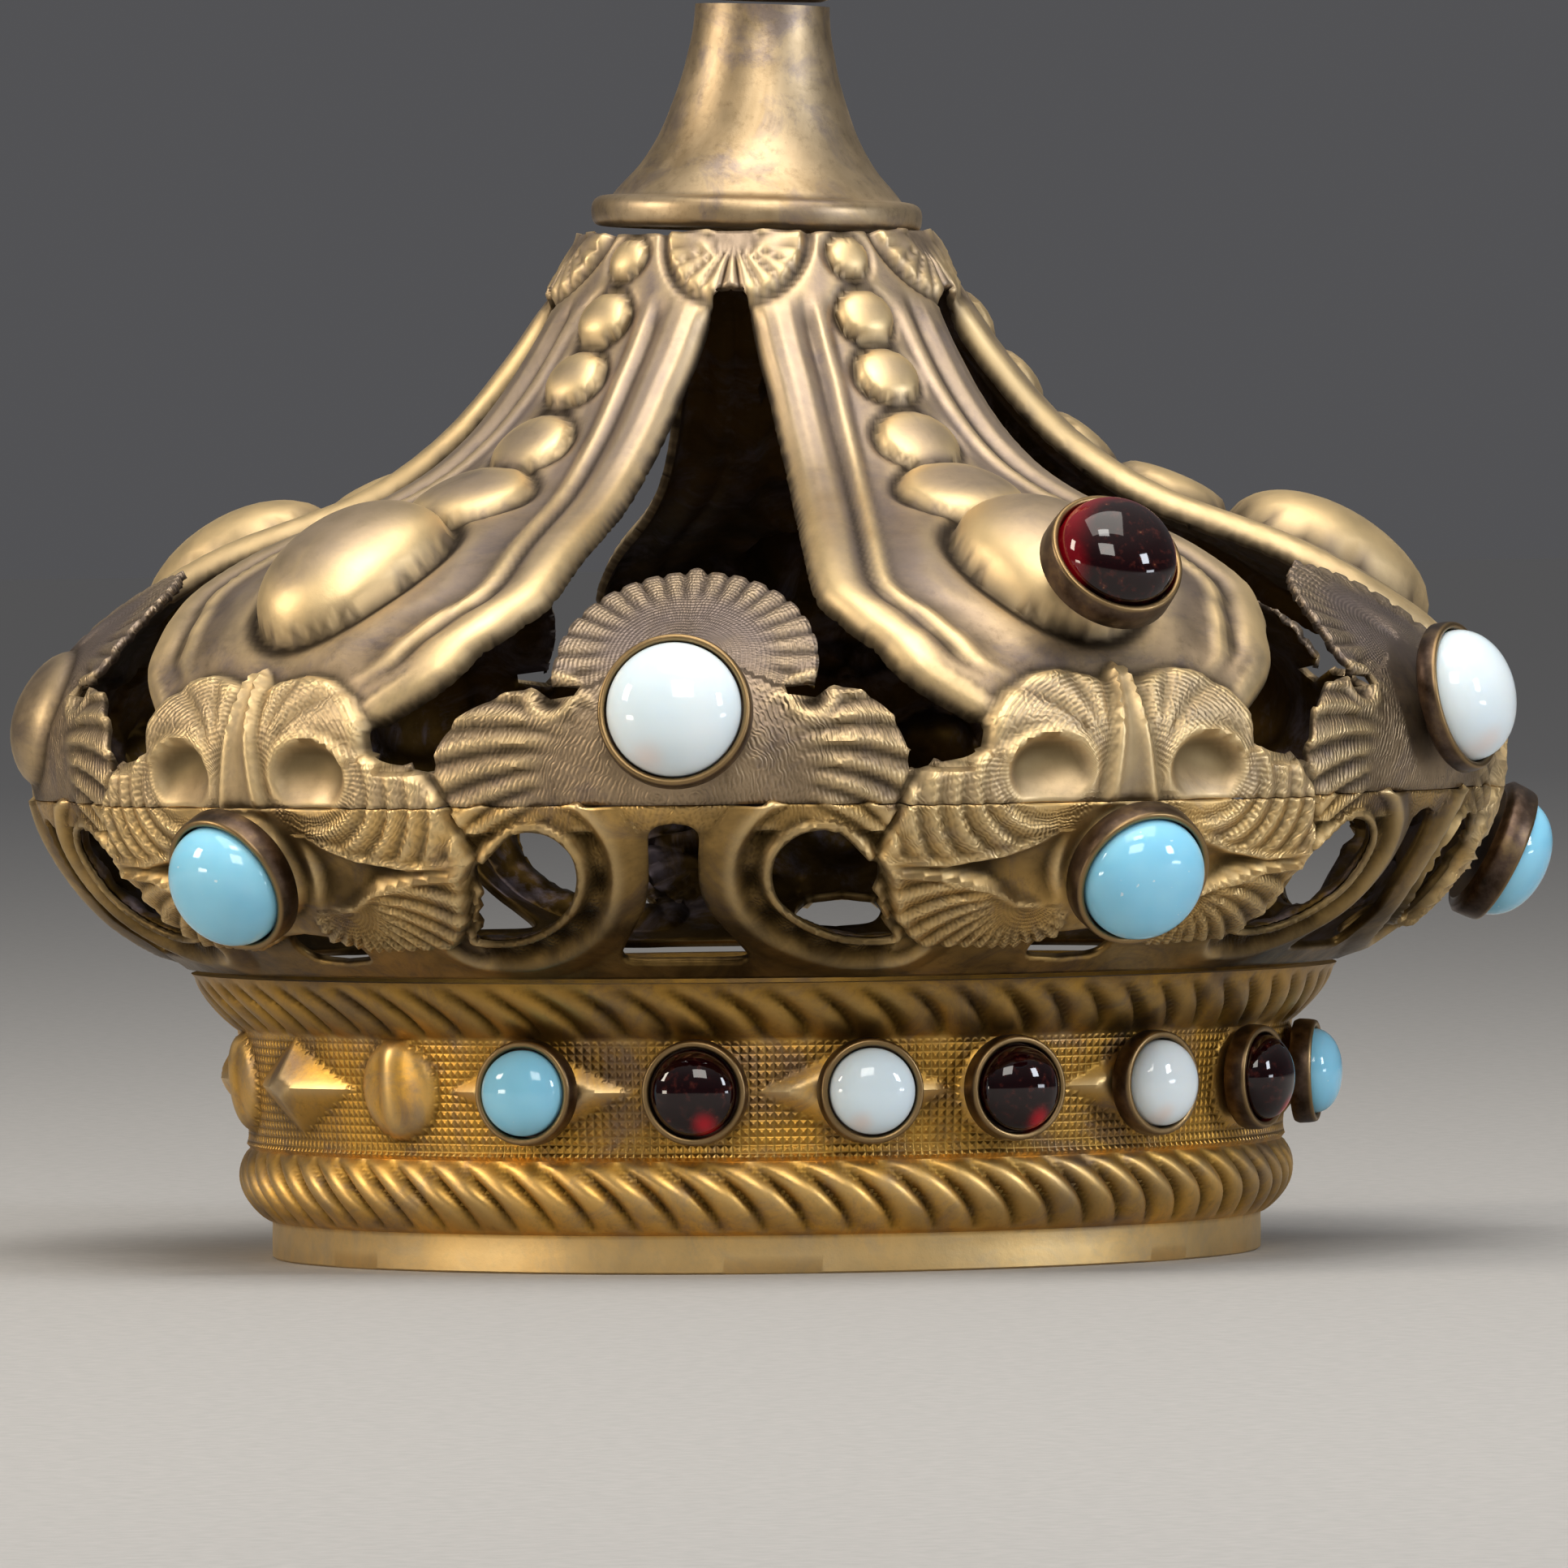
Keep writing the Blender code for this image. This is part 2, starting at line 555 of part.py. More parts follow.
def build_arches(finish, parent):
    """The upper stamping, with the palmettes and the arches up to the ring."""
    low = SEAM + SEAM_HALF_GAP
    notch = flat(NOTCH)
    leaf = [low, low + 1.9, 18.0, 20.6, 22.4]
    egg = [EGG_WIDEST - EGG_BELOW, EGG_WIDEST - 0.7 * EGG_BELOW, EGG_WIDEST, EGG_WIDEST + 0.7 * EGG_ABOVE]
    beads = [v for middle, bead_radius, _rise in BEADS
             for v in (middle - bead_radius, middle, middle + bead_radius - 0.05)]
    outer_middle = [(0.0, v) for v in leaf + egg + beads if v < PATTERN_TOP] + [(0.0, PATTERN_TOP)]
    inner_middle = [(0.0, v) for v in leaf[::2] + egg + [bead[0] - bead[1] for bead in BEADS]]
    inner_middle.append((0.0, PATTERN_TOP))
    edge = joined(
        smooth_curve(flat([(0.0, low), (HALF, low)]), 4.4),
        flat([(HALF, low), (HALF, PALMETTE_BOSS - 2.6), (HALF, PALMETTE_BOSS),
              (HALF, PALMETTE_BOSS + 2.6), (HALF, PALMETTE_BOSS + 4.4), (HALF, LOBE_MIDDLE + LOBE_RADIUS)]),
        lobe_outline(),
        notch,
        curve(SIDE_LOBE, 2.4),
        curve(MASK_LOBE, 2.6),
        curve(MASK_CORNER, 1.4),
        curve(ARCH_EDGE, 3.8),
        curve(GAP_TOP, 2.4),
        smooth_curve(flat([(HALF, GAP_TOP[-1][1]), (HALF, PATTERN_TOP)]), 3.4),
        smooth_curve(flat([(HALF, PATTERN_TOP), (0.0, PATTERN_TOP)]), 13.6),
    )
    outlines = [edge + flat(outer_middle[:0:-1]), edge + flat(inner_middle[:0:-1])]
    boss = (0.0, PALMETTE_BOSS)
    shell = [(HALF * DEGREE - x, v) for x, v in
             ring_of_points(boss, 4.2, 5, -70.0, 140.0) + ring_of_points(boss, 2.6, 2, -40.0, 80.0)]
    inner_points = egg_points(1.0, 6) + egg_points(0.62, 4) + arch_guides()[:BORDER_POINTS:2]
    inner_points += [(HALF * DEGREE - 4.0, PALMETTE_BOSS)] + flat([(4.0, 17.5), (9.0, 16.0)])
    outer_points = arch_guides() + mask_guides() + shell
    mesh = sheet_mesh("crown_arches", outlines, [], outer_points, inner_points)
    return add_object("crown_arches", mesh, finish, parent)


def build_gallery(finish, parent):
    """The lower stamping, a bowl of C-scrolls and the lower halves of the leaves."""
    high = SEAM - SEAM_HALF_GAP
    step = 2.6
    outline = joined(
        smooth_curve(flat([(0.0, 0.0), (HALF, 0.0)]), 5.4),
        flat([(HALF, 0.0), (HALF, STEM_OPENING[-1][1])]),
        curve(STEM_OPENING[::-1], step),
        flat([STEM_OPENING[0], (HALF, high)]),
        smooth_curve(flat([(HALF, high), (0.0, high)]), 4.4),
        flat([(0.0, high), (0.0, MASK_BOSS + MASK_BOSS_TOP), (0.0, MASK_BOSS),
              (0.0, MASK_BOSS - MASK_BOSS_TOP), (0.0, MASK_BOSS - MASK_BOSS_FOOT), FOOT_OPENING[0]]),
        curve(FOOT_OPENING, step),
        flat([FOOT_OPENING[-1], (0.0, 0.0)]),
    )
    eye = joined(curve(SCROLL_EYE, step), curve(SCROLL_EYE_BACK, 2.8))
    inner_points = flat([(10.0, 9.5), (17.0, 8.0), (6.5, 8.0), (10.0, 4.6)])
    inner_points += ring_of_points((0.0, MASK_BOSS), 2.2, 2, -45.0, 90.0)
    mesh = sheet_mesh("gallery", [outline, outline], [eye], bowl_guides(), inner_points)
    return add_object("gallery", mesh, finish, parent)


# The circlet

COLUMNS = 2 * ROPE_STRANDS
LOWER_ROPE_ROWS = 2
UPPER_ROPE_ROWS = 2
ROUND_COLUMNS = 6
BOSS_TURN = 360.0 / COLUMNS * ROUND_COLUMNS
LOZENGE_COLUMNS = 9


def circlet_rows():
    """Radius, height and strand depth of each row of points, from the skirt's top up."""
    rows = []
    for i in range(LOWER_ROPE_ROWS + 1):
        t = i / LOWER_ROPE_ROWS
        plain = SKIRT_RADIUS + 0.3 * MM + (FIELD_RADIUS - SKIRT_RADIUS - 0.3 * MM) * t
        bulge = math.sin(math.pi * t)
        rows.append((plain + LOWER_ROPE_BULGE * bulge, SKIRT_HEIGHT + LOWER_ROPE_HEIGHT * t,
                     STRAND_DEPTH * bulge))
    field_top = FIELD_BOTTOM + FIELD_HEIGHT
    rim_start = FIELD_RADIUS + FIELD_FLARE
    for i in range(UPPER_ROPE_ROWS + 1):
        t = i / UPPER_ROPE_ROWS
        plain = rim_start + (RIM_RADIUS - rim_start) * t
        rows.append((plain + 0.35 * LOWER_ROPE_BULGE * math.sin(math.pi * t),
                     field_top + UPPER_ROPE_HEIGHT * t, STRAND_DEPTH * math.sin(math.pi * t)))
    return rows


def around(radius, degrees, height):
    """A point at a bearing from the front, counted towards +X."""
    turn = math.radians(degrees)
    return Vector((radius * math.sin(turn), -radius * math.cos(turn), height))


def rope(shape, rows):
    """Slanting strands between rows of points, and the rows themselves."""
    step = 360.0 / COLUMNS
    rings = []
    for i, (radius, height, depth) in enumerate(rows):
        ring = []
        for column in range(COLUMNS):
            ridge = (column + i) % 2 == 0
            reach = radius if ridge else radius - depth
            ring.append(shape.verts.new(around(reach, column * step, height)))
        rings.append(ring)
    for low, high in zip(rings, rings[1:]):
        for column in range(COLUMNS):
            after = (column + 1) % COLUMNS
            shape.faces.new([low[column], low[after], high[column]])
            shape.faces.new([low[after], high[after], high[column]])
    return rings


def field_motif(shape, low, high, lozenge, middle, stone):
    """One panel of the field: a four-sided pyramid or a round dome on the plain band."""
    rise = 0.45 * BOSS_HEIGHT if stone else BOSS_HEIGHT
    slope = FIELD_FLARE / FIELD_HEIGHT

    def place(aside, up, lift):
        height = FIELD_MIDDLE + up
        radius = FIELD_RADIUS + slope * (height - FIELD_BOTTOM) + lift
        return around(radius, middle + math.degrees(aside / FIELD_RADIUS), height)

    if lozenge:
        half_length = math.radians((len(low) - 1) * 180.0 / COLUMNS - 0.4) * FIELD_RADIUS
        inner = [(half_length, 0.0, 0.0), (0.0, LOZENGE_HALF_HEIGHT, 0.0),
                 (-half_length, 0.0, 0.0), (0.0, -LOZENGE_HALF_HEIGHT, 0.0)]
        if stone:
            inner += [(0.5 * x, 0.5 * y, rise) for x, y, _ in inner]
        inner.append((0.0, 0.0, rise))
    else:
        inner = []
        for radius, lift in ((BOSS_RADIUS, 0.0), (0.72 * BOSS_RADIUS, 0.75 * rise)):
            inner += [(radius * math.cos(math.radians(t)), radius * math.sin(math.radians(t)), lift)
                      for t in range(0, 360, 60)]
        inner.append((0.0, 0.0, rise))
    count = len(low)
    span = (count - 1) * 360.0 / COLUMNS
    flat_points = []
    for up, ring in ((-1.0, low), (1.0, high)):
        at = FIELD_BOTTOM - FIELD_MIDDLE if up < 0 else FIELD_BOTTOM + FIELD_HEIGHT - FIELD_MIDDLE
        for i in range(count):
            degrees = span * (i / (count - 1) - 0.5)
            flat_points.append((math.radians(degrees) * FIELD_RADIUS, at))
    border = [(i, i + 1) for i in range(count - 1)]
    border += [(count + i, count + i + 1) for i in range(count - 1)]
    border += [(0, count), (count - 1, 2 * count - 1)]
    scale = 1.0 / MM
    cut = delaunay_2d_cdt([Vector((x * scale, y * scale)) for x, y in
                           flat_points + [(x, y) for x, y, _ in inner]], border, [], 0, 1e-5, True)
    corners = list(low) + list(high) + [shape.verts.new(place(*point)) for point in inner]
    for face in cut[2]:
        shape.faces.new([corners[cut[3][i][0]] for i in face])


def stitched(shape, fine, coarse):
    """Triangles between a ring of points and one with fewer points."""
    ratio = len(fine) / len(coarse)
    for i, point in enumerate(fine):
        at = round(i / ratio) % len(coarse)
        then = round((i + 1) / ratio) % len(coarse)
        after = fine[(i + 1) % len(fine)]
        shape.faces.new([point, after, coarse[at]])
        if then != at:
            shape.faces.new([after, coarse[then], coarse[at]])


def build_circlet(finish, parent):
    """The band: skirt, rope, field with bosses, rope, and the shelf that the bowl stands on."""
    shape = bmesh.new()
    rows = circlet_rows()
    lower = rope(shape, rows[:LOWER_ROPE_ROWS + 1])
    upper = rope(shape, rows[LOWER_ROPE_ROWS + 1:])
    half_round = ROUND_COLUMNS // 2
    starts = [pair * (ROUND_COLUMNS + LOZENGE_COLUMNS) - (1 if pair in SLIPPED_PAIRS else 0)
              for pair in range(2 * ARCHES)]
    for start, after in zip(starts, starts[1:] + [COLUMNS + starts[0]]):
        for first, last, lozenge in ((start - half_round, start + half_round, False),
                                     (start + half_round, after - half_round, True)):
            columns = [column % COLUMNS for column in range(first, last + 1)]
            bearing = 0.5 * (first + last) * 360.0 / COLUMNS
            under_stone = any(abs((bearing - at + 180.0) % 360.0 - 180.0) < 0.5 * BOSS_TURN
                              for at, _ in BAND_STONES)
            field_motif(shape, [lower[-1][c] for c in columns], [upper[0][c] for c in columns],
                        lozenge, bearing, under_stone)
    sides = 30
    step = 360.0 / sides

    def ring(radius, height):
        return [shape.verts.new(around(radius, i * step, height)) for i in range(sides)]

    skirt_foot = ring(SKIRT_RADIUS, 0.0)
    bore_foot = ring(SKIRT_RADIUS - CIRCLET_WALL, 0.0)
    bore_waist = ring(FIELD_RADIUS - CIRCLET_WALL, FIELD_BOTTOM)
    bore_shoulder = ring(FIELD_RADIUS + FIELD_FLARE - CIRCLET_WALL, FIELD_BOTTOM + FIELD_HEIGHT)
    shelf = ring(RIM_RADIUS - SHELF_WIDTH, CIRCLET_HEIGHT)
    stitched(shape, lower[0], skirt_foot)
    stitched(shape, upper[-1], shelf)
    for a, b in zip((skirt_foot, bore_foot, bore_waist, bore_shoulder),
                    (bore_foot, bore_waist, bore_shoulder, shelf)):
        for i in range(sides):
            after = (i + 1) % sides
            shape.faces.new([a[i], a[after], b[after], b[i]])
    bmesh.ops.triangulate(shape, faces=[f for f in shape.faces if len(f.verts) > 3])
    return add_object("circlet", finished(shape, "circlet"), finish, parent)


# Stones and collets

def collet_mesh(name, stone_radius, height, neck_radius=0.0, neck_height=0.0):
    """A cup for a stone, on a narrower neck if one is given, foot at the origin, opening up."""
    inside_radius = stone_radius + GAP
    outside_radius = inside_radius + COLLET_WALL
    floor = neck_height + COLLET_FLOOR
    foot = [(0.0, 0.0), (neck_radius, 0.0)] if neck_height else [(0.0, 0.0)]
    return turned(name, foot + [
        (outside_radius, neck_height),
        (outside_radius, height),
        (inside_radius, height),
        (inside_radius, floor),
        (0.0, floor),
    ], STONE_SIDES)


def stone_mesh(name, radius, girdle, dome):
    """A cabochon: flat back at the origin, a straight girdle and a low dome."""
    shoulder = math.radians(45.0)
    return turned(name, [
        (0.0, 0.0),
        (radius, 0.0),
        (radius, girdle),
        (radius * math.cos(shoulder), girdle + dome * math.sin(shoulder)),
        (0.0, girdle + dome),
    ], STONE_SIDES)


def place_on_axis(piece, foot, outward, rise=0.0):
    """Stands a piece on a foot point with its own Z along outward."""
    axis = outward.normalized()
    piece.location = foot + rise * axis
    piece.rotation_euler = axis.to_track_quat("Z", "Y").to_euler()


def outward(degrees, elevation):
    """The direction at a bearing and an angle above the horizontal."""
    turn, rise = math.radians(degrees), math.radians(elevation)
    return Vector((math.sin(turn) * math.cos(rise), -math.cos(turn) * math.cos(rise), math.sin(rise)))


LARGE_NECK_RADIUS = {"garnet": 2.4 * MM, "turquoise": 3.6 * MM, "opal": 2.4 * MM}
LARGE_NECK_HEIGHT = {"garnet": 0.9 * MM, "turquoise": 0.2 * MM, "opal": 0.5 * MM}
LARGE_COLLET_HEIGHT = {"garnet": 2.9 * MM, "turquoise": 1.9 * MM, "opal": 1.8 * MM}
LARGE_STONE_PLACES = {"garnet": GARNET_PLACES, "turquoise": TURQUOISE_PLACES, "opal": OPAL_PLACES}
LARGE_STONE_SEAT = {"garnet": GARNET_SEAT, "turquoise": TURQUOISE_SEAT, "opal": PALMETTE_BOSS}
LARGE_STONE_CLEAR = {"garnet": 0.9 * MM, "turquoise": 0.15 * MM, "opal": 0.15 * MM}
STONE_TILT_OFF_SHEET = {"garnet": GARNET_TILT, "turquoise": TURQUOISE_TILT, "opal": OPAL_TILT}


def build_large_stones(brass, glass, parent):
    """Six large cabochons on the arches' leaves, the palmettes and the front egg."""
    for kind, bearings in LARGE_STONE_PLACES.items():
        radius, height = LARGE_STONE_RADIUS[kind], LARGE_COLLET_HEIGHT[kind]
        seat = LARGE_NECK_HEIGHT[kind] + COLLET_FLOOR + GAP
        collet = collet_mesh(f"large_{kind}_collet", radius, height,
                             LARGE_NECK_RADIUS[kind], LARGE_NECK_HEIGHT[kind])
        stone = stone_mesh(f"large_{kind}", radius, height - seat, LARGE_STONE_DOME[kind])
        v, clear = LARGE_STONE_SEAT[kind], GAP + LARGE_STONE_CLEAR[kind]
        for number, at in enumerate(bearings, 1):
            foot = bent(at, v, relief(at, v) * MM)
            axis = outward(settled(at, v), sheet_elevation(v) + STONE_TILT_OFF_SHEET[kind])
            cup = add_object(f"large_{kind}_collet_{number}", collet, brass, parent)
            place_on_axis(cup, foot, axis, clear)
            gem = add_object(f"large_{kind}_{number}", stone, glass[kind], parent)
            place_on_axis(gem, foot, axis, clear + seat)


def build_band_stones(brass, glass, parent):
    """Seven small cabochons on the bosses round the front of the circlet."""
    collet = collet_mesh("small_collet", SMALL_STONE_RADIUS, SMALL_COLLET_HEIGHT)
    seat = COLLET_FLOOR + GAP
    girdle = SMALL_COLLET_HEIGHT - seat
    stones = {kind: stone_mesh(f"band_{kind}", SMALL_STONE_RADIUS, girdle, SMALL_STONE_DOME)
              for kind in ("garnet", "turquoise", "opal")}
    radius = FIELD_RADIUS + FIELD_FLARE * (FIELD_MIDDLE - FIELD_BOTTOM) / FIELD_HEIGHT
    radius += 0.45 * BOSS_HEIGHT
    counts = {}
    for at, kind in BAND_STONES:
        counts[kind] = counts.get(kind, 0) + 1
        foot = around(radius, at, FIELD_MIDDLE)
        axis = outward(at, 0.0)
        cup = add_object(f"band_{kind}_collet_{counts[kind]}", collet, brass, parent)
        place_on_axis(cup, foot, axis, GAP)
        gem = add_object(f"band_{kind}_{counts[kind]}", stones[kind], glass[kind], parent)
        place_on_axis(gem, foot, axis, GAP + seat)


# The finial

def build_finial(brass, parent):
    """Trumpet foot, collar, orb and cross, all leaning a little together."""
    base = bpy.data.objects.new("finial_base", None)
    bpy.context.collection.objects.link(base)
    base.parent = parent
    base.location = (0.0, 0.0, BODY_FOOT + BODY_RISE + TRUMPET_SEAT)
    side = Vector((math.sin(LEAN_TOWARDS), -math.cos(LEAN_TOWARDS), 0.0))
    base.rotation_euler = Matrix.Rotation(FINIAL_LEAN, 3, Vector((0, 0, 1)).cross(side)).to_euler()

    rim, high, neck = TRUMPET_RIM_RADIUS, TRUMPET_RIM_HEIGHT, TRUMPET_NECK_RADIUS
    flare = rim - 1.1 * MM
    outer = [(rim - 1.0 * MM, 0.0), (rim - 0.2 * MM, 0.15 * high), (rim, 0.5 * high),
             (rim - 0.25 * MM, 0.9 * high), (flare, 1.1 * high)]
    steps = 4
    bell = []
    for i in range(1, steps + 1):
        t = i / steps
        bell.append((neck + (flare - neck) * (1.0 - t) ** 2.1,
                     1.1 * high + (TRUMPET_HEIGHT - 1.1 * high) * t))
    inner = [(radius - SHEET, height) for radius, height in bell[::-2]]
    inner.append((flare - SHEET, 1.1 * high))
    inner.append((flare - SHEET, 0.0))
    trumpet = turned("trumpet", outer + bell + inner, 16)
    add_object("trumpet", trumpet, brass, base, 50.0)

    start = TRUMPET_HEIGHT + GAP
    collar = [(0.0, start), (0.8 * COLLAR_RADIUS, start), (COLLAR_RADIUS, start + 0.3 * COLLAR_HEIGHT),
              (COLLAR_RADIUS, start + 0.65 * COLLAR_HEIGHT), (0.7 * COLLAR_RADIUS, start + COLLAR_HEIGHT),
              (0.0, start + COLLAR_HEIGHT)]
    add_object("collar", turned("collar", collar, 12), brass, base, 50.0)

    middle = start + COLLAR_HEIGHT + GAP + ORB_RADIUS
    rows = 6
    orb = [(0.0, middle - ORB_RADIUS)]
    for i in range(1, rows):
        turn = math.radians(-90.0 + 180.0 * i / rows)
        reach = ORB_RADIUS * math.cos(turn)
        if i == rows // 2:
            orb += [(reach + 0.35 * MM, middle - 0.5 * MM), (reach + 0.35 * MM, middle + 0.5 * MM)]
        else:
            orb.append((reach, middle + ORB_RADIUS * math.sin(turn)))
    orb.append((0.0, middle + ORB_RADIUS))
    add_object("orb", turned("orb", orb, 12), brass, base, 50.0)

    cross = cross_mesh(middle + ORB_RADIUS + GAP)
    add_object("cross", cross, brass, base)


def cross_mesh(foot):
    """A cross with three flared arms and a plain stem, standing on the orb."""
    half_span = 0.5 * CROSS_SPAN
    middle = foot + CROSS_HEIGHT - half_span
    waist, flare, bow = 0.11 * CROSS_SPAN, 0.24 * CROSS_SPAN, 0.4 * MM
    arm = [(-waist, waist), (-flare, half_span - bow), (0.0, half_span), (flare, half_span - bow)]
    outline = []
    for turn in (math.radians(90.0), 0.0, math.radians(-90.0)):
        outline += [(x * math.cos(turn) - z * math.sin(turn),
                     x * math.sin(turn) + z * math.cos(turn)) for x, z in arm]
    outline += [(waist, -waist), (waist, foot - middle), (-waist, foot - middle)]
    shape = bmesh.new()
    front = [shape.verts.new((x, -0.5 * CROSS_THICKNESS, z + middle)) for x, z in outline]
    face = shape.faces.new(front)
    extruded = bmesh.ops.extrude_face_region(shape, geom=[face])
    back = [part for part in extruded["geom"] if isinstance(part, bmesh.types.BMVert)]
    bmesh.ops.translate(shape, verts=back, vec=(0.0, CROSS_THICKNESS, 0.0))
    bmesh.ops.triangulate(shape, faces=shape.faces)
    return finished(shape, "cross")


def stand_over_origin(root):
    """Moves the crown so that the origin lies under the middle of its box."""
    bpy.context.view_layer.update()
    corners = np.array([piece.matrix_world @ vertex.co for piece in bpy.data.objects
                        if piece.type == "MESH" for vertex in piece.data.vertices])
    middle = 0.5 * (corners.min(axis=0) + corners.max(axis=0))
    root.location = (-middle[0], -middle[1], 0.0)


def main():
    """Builds the crown."""
    for old in list(bpy.data.objects):
        bpy.data.objects.remove(old)
    root = bpy.data.objects.new("crown", None)
    bpy.context.collection.objects.link(root)
    brass = material("aged_gilt_brass", (0.50, 0.36, 0.19), 0.42, 1.0)
    dark_brass = material("collet_brass", (0.30, 0.21, 0.13), 0.5, 1.0)
    glass = {
        "garnet": material("garnet_glass", (0.12, 0.005, 0.012), 0.05, 0.0, 0.8),
        "turquoise": material("turquoise_glass", (0.20, 0.55, 0.72), 0.12, 0.0),
        "opal": material("opal_glass", (0.72, 0.80, 0.86), 0.08, 0.0, 0.3),
    }
    build_circlet(brass, root)
    build_gallery(brass, root)
    build_arches(brass, root)
    build_large_stones(dark_brass, glass, root)
    build_band_stones(dark_brass, glass, root)
    build_finial(brass, root)
    stand_over_origin(root)


main()
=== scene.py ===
"""Ceremonial crown of stamped and gilt brass set with glass cabochons, dressed for the camera.

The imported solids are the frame, and each finely modelled piece stands for one of them. The
openwork is drawn on a flat pattern, as a metal worker would: degrees round the crown, counted
from the middle of the front arch, and millimetres up the sheet. Half of one arch is cut into
small triangles, mirrored, repeated five times, bent round the crown and given its thickness.
"""

import math

import bmesh
import bpy
import numpy as np
from mathutils import Euler, Matrix, Vector, noise
from mathutils.geometry import delaunay_2d_cdt


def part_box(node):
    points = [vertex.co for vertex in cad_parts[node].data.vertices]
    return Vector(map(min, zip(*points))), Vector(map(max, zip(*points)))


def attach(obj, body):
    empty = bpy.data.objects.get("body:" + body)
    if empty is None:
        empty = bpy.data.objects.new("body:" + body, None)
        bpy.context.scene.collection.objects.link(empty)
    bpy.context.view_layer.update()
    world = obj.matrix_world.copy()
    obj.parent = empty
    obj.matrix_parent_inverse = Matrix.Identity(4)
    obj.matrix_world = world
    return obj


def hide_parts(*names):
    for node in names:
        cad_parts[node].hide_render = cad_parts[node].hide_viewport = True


MM = 0.001

# Sizes shared with the solids
GAP = 0.3 * MM
SHEET = 0.5 * MM
SKIRT_RADIUS = 29.4 * MM
SKIRT_HEIGHT = 2.3 * MM
LOWER_ROPE_HEIGHT = 4.6 * MM
FIELD_HEIGHT = 6.7 * MM
UPPER_ROPE_HEIGHT = 3.4 * MM
FIELD_RADIUS = 30.7 * MM
FIELD_FLARE = 0.7 * MM
RIM_RADIUS = 34.1 * MM
CIRCLET_WALL = 1.1 * MM
SHELF_WIDTH = 1.9 * MM
ROPE_STRANDS = 75
ARCHES = 5
GIRTH_RADIUS = 43.5 * MM
BODY_RISE = 43.3 * MM
CROWN_TOP_RADIUS = 10.4 * MM
CIRCLET_HEIGHT = SKIRT_HEIGHT + LOWER_ROPE_HEIGHT + FIELD_HEIGHT + UPPER_ROPE_HEIGHT
FIELD_BOTTOM = SKIRT_HEIGHT + LOWER_ROPE_HEIGHT
FIELD_TOP = FIELD_BOTTOM + FIELD_HEIGHT
FIELD_MIDDLE = FIELD_BOTTOM + 0.56 * FIELD_HEIGHT
FOOT_RADIUS = RIM_RADIUS + GAP
BODY_FOOT = CIRCLET_HEIGHT + GAP
SECTOR = 360.0 / ARCHES
HALF = SECTOR / 2.0

# Camera, from the photograph's perspective
CAMERA_BEARING = math.radians(-28.8)
CAMERA_DISTANCE = 1.0628
CAMERA_HEIGHT = 46.96 * MM
CAMERA_LENS = 409.9
CAMERA_TILT = -0.017955
CAMERA_YAW = -0.001418
CAMERA_ROLL = -0.0105

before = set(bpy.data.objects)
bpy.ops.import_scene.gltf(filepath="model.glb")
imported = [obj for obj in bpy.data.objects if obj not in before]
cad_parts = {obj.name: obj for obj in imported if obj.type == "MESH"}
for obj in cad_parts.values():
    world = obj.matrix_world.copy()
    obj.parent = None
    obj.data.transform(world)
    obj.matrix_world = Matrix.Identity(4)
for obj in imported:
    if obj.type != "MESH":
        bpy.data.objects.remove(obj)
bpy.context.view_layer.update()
circlet_low, circlet_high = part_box("circlet")
AXIS = 0.5 * (circlet_low + circlet_high)
AXIS.z = 0.0


# Materials

BRUISE = "#6B6470"
GRIME = "#5A4830"
TARNISH_GREY = "#928580"
# Brown painted as shade under the bowl, between the scrolls, on the palmettes and over the band's upper rope
PAINTED_SHADE_BROWN = "#3D2C10"
# Near black for dirt and painted shade in the hollows
DIRT_AND_PAINTED_SHADE = "#1B1307"
# Darker colour for the chased ground's low lines
CHASED_LOW_LINE_COLOUR = "#2E210F"
# Pale gold for rubbed gilding and painted highlights on the crests
RUBBED_GOLD_AND_HIGHLIGHT = "#F0D49E"
WEAVE_PITCH = 0.5
WEAVE_CROSS_PITCH = 0.62
WEAVE_WANDER = 2.2
DOT_PITCH = 0.48
DOT_STRENGTH = 2.2


def linear(code):
    """A colour from its sRGB hex code."""
    channels = [int(code[i:i + 2], 16) / 255.0 for i in (1, 3, 5)]
    return (*[c / 12.92 if c <= 0.04045 else ((c + 0.055) / 1.055) ** 2.4 for c in channels], 1.0)


def grey(value):
    """A grey that a ramp uses as a plain number."""
    return (value, value, value, 1.0)


def node(tree, kind, links=(), **settings):
    """Adds a node with its settings, and links {input: socket} or plain values."""
    made = tree.nodes.new(kind)
    for name, value in settings.items():
        setattr(made, name, value)
    for name, value in dict(links).items():
        if isinstance(value, bpy.types.NodeSocket):
            tree.links.new(value, made.inputs[name])
        else:
            made.inputs[name].default_value = value
    return made


def ramp(tree, factor, *stops):
    """A colour ramp through (place, colour) stops."""
    made = node(tree, "ShaderNodeValToRGB", {"Fac": factor})
    band = made.color_ramp.elements
    while len(band) > 1:
        band.remove(band[-1])
    band[0].position, band[0].color = stops[0]
    for place, colour in stops[1:]:
        band.new(place).color = colour
    return made.outputs["Color"]


def mixed(tree, factor, first, second):
    """Two colours mixed."""
    return node(tree, "ShaderNodeMix", {"Factor": factor, 6: first, 7: second}, data_type="RGBA").outputs[2]


def maths(tree, operation, first, second=0.0):
    """A math node's value."""
    return node(tree, "ShaderNodeMath", {0: first, 1: second}, operation=operation).outputs[0]


def times(tree, first, second):
    """A product."""
    return maths(tree, "MULTIPLY", first, second)


def plus(tree, first, second):
    """A sum."""
    return maths(tree, "ADD", first, second)


def wave(tree, value, pitch):
    """A sine wave of a pitch in millimetres."""
    return maths(tree, "SINE", times(tree, value, 2.0 * math.pi / pitch))


def attribute(tree, name):
    """The value that the mesh carries at each point under a name."""
    return node(tree, "ShaderNodeAttribute", attribute_name=name).outputs


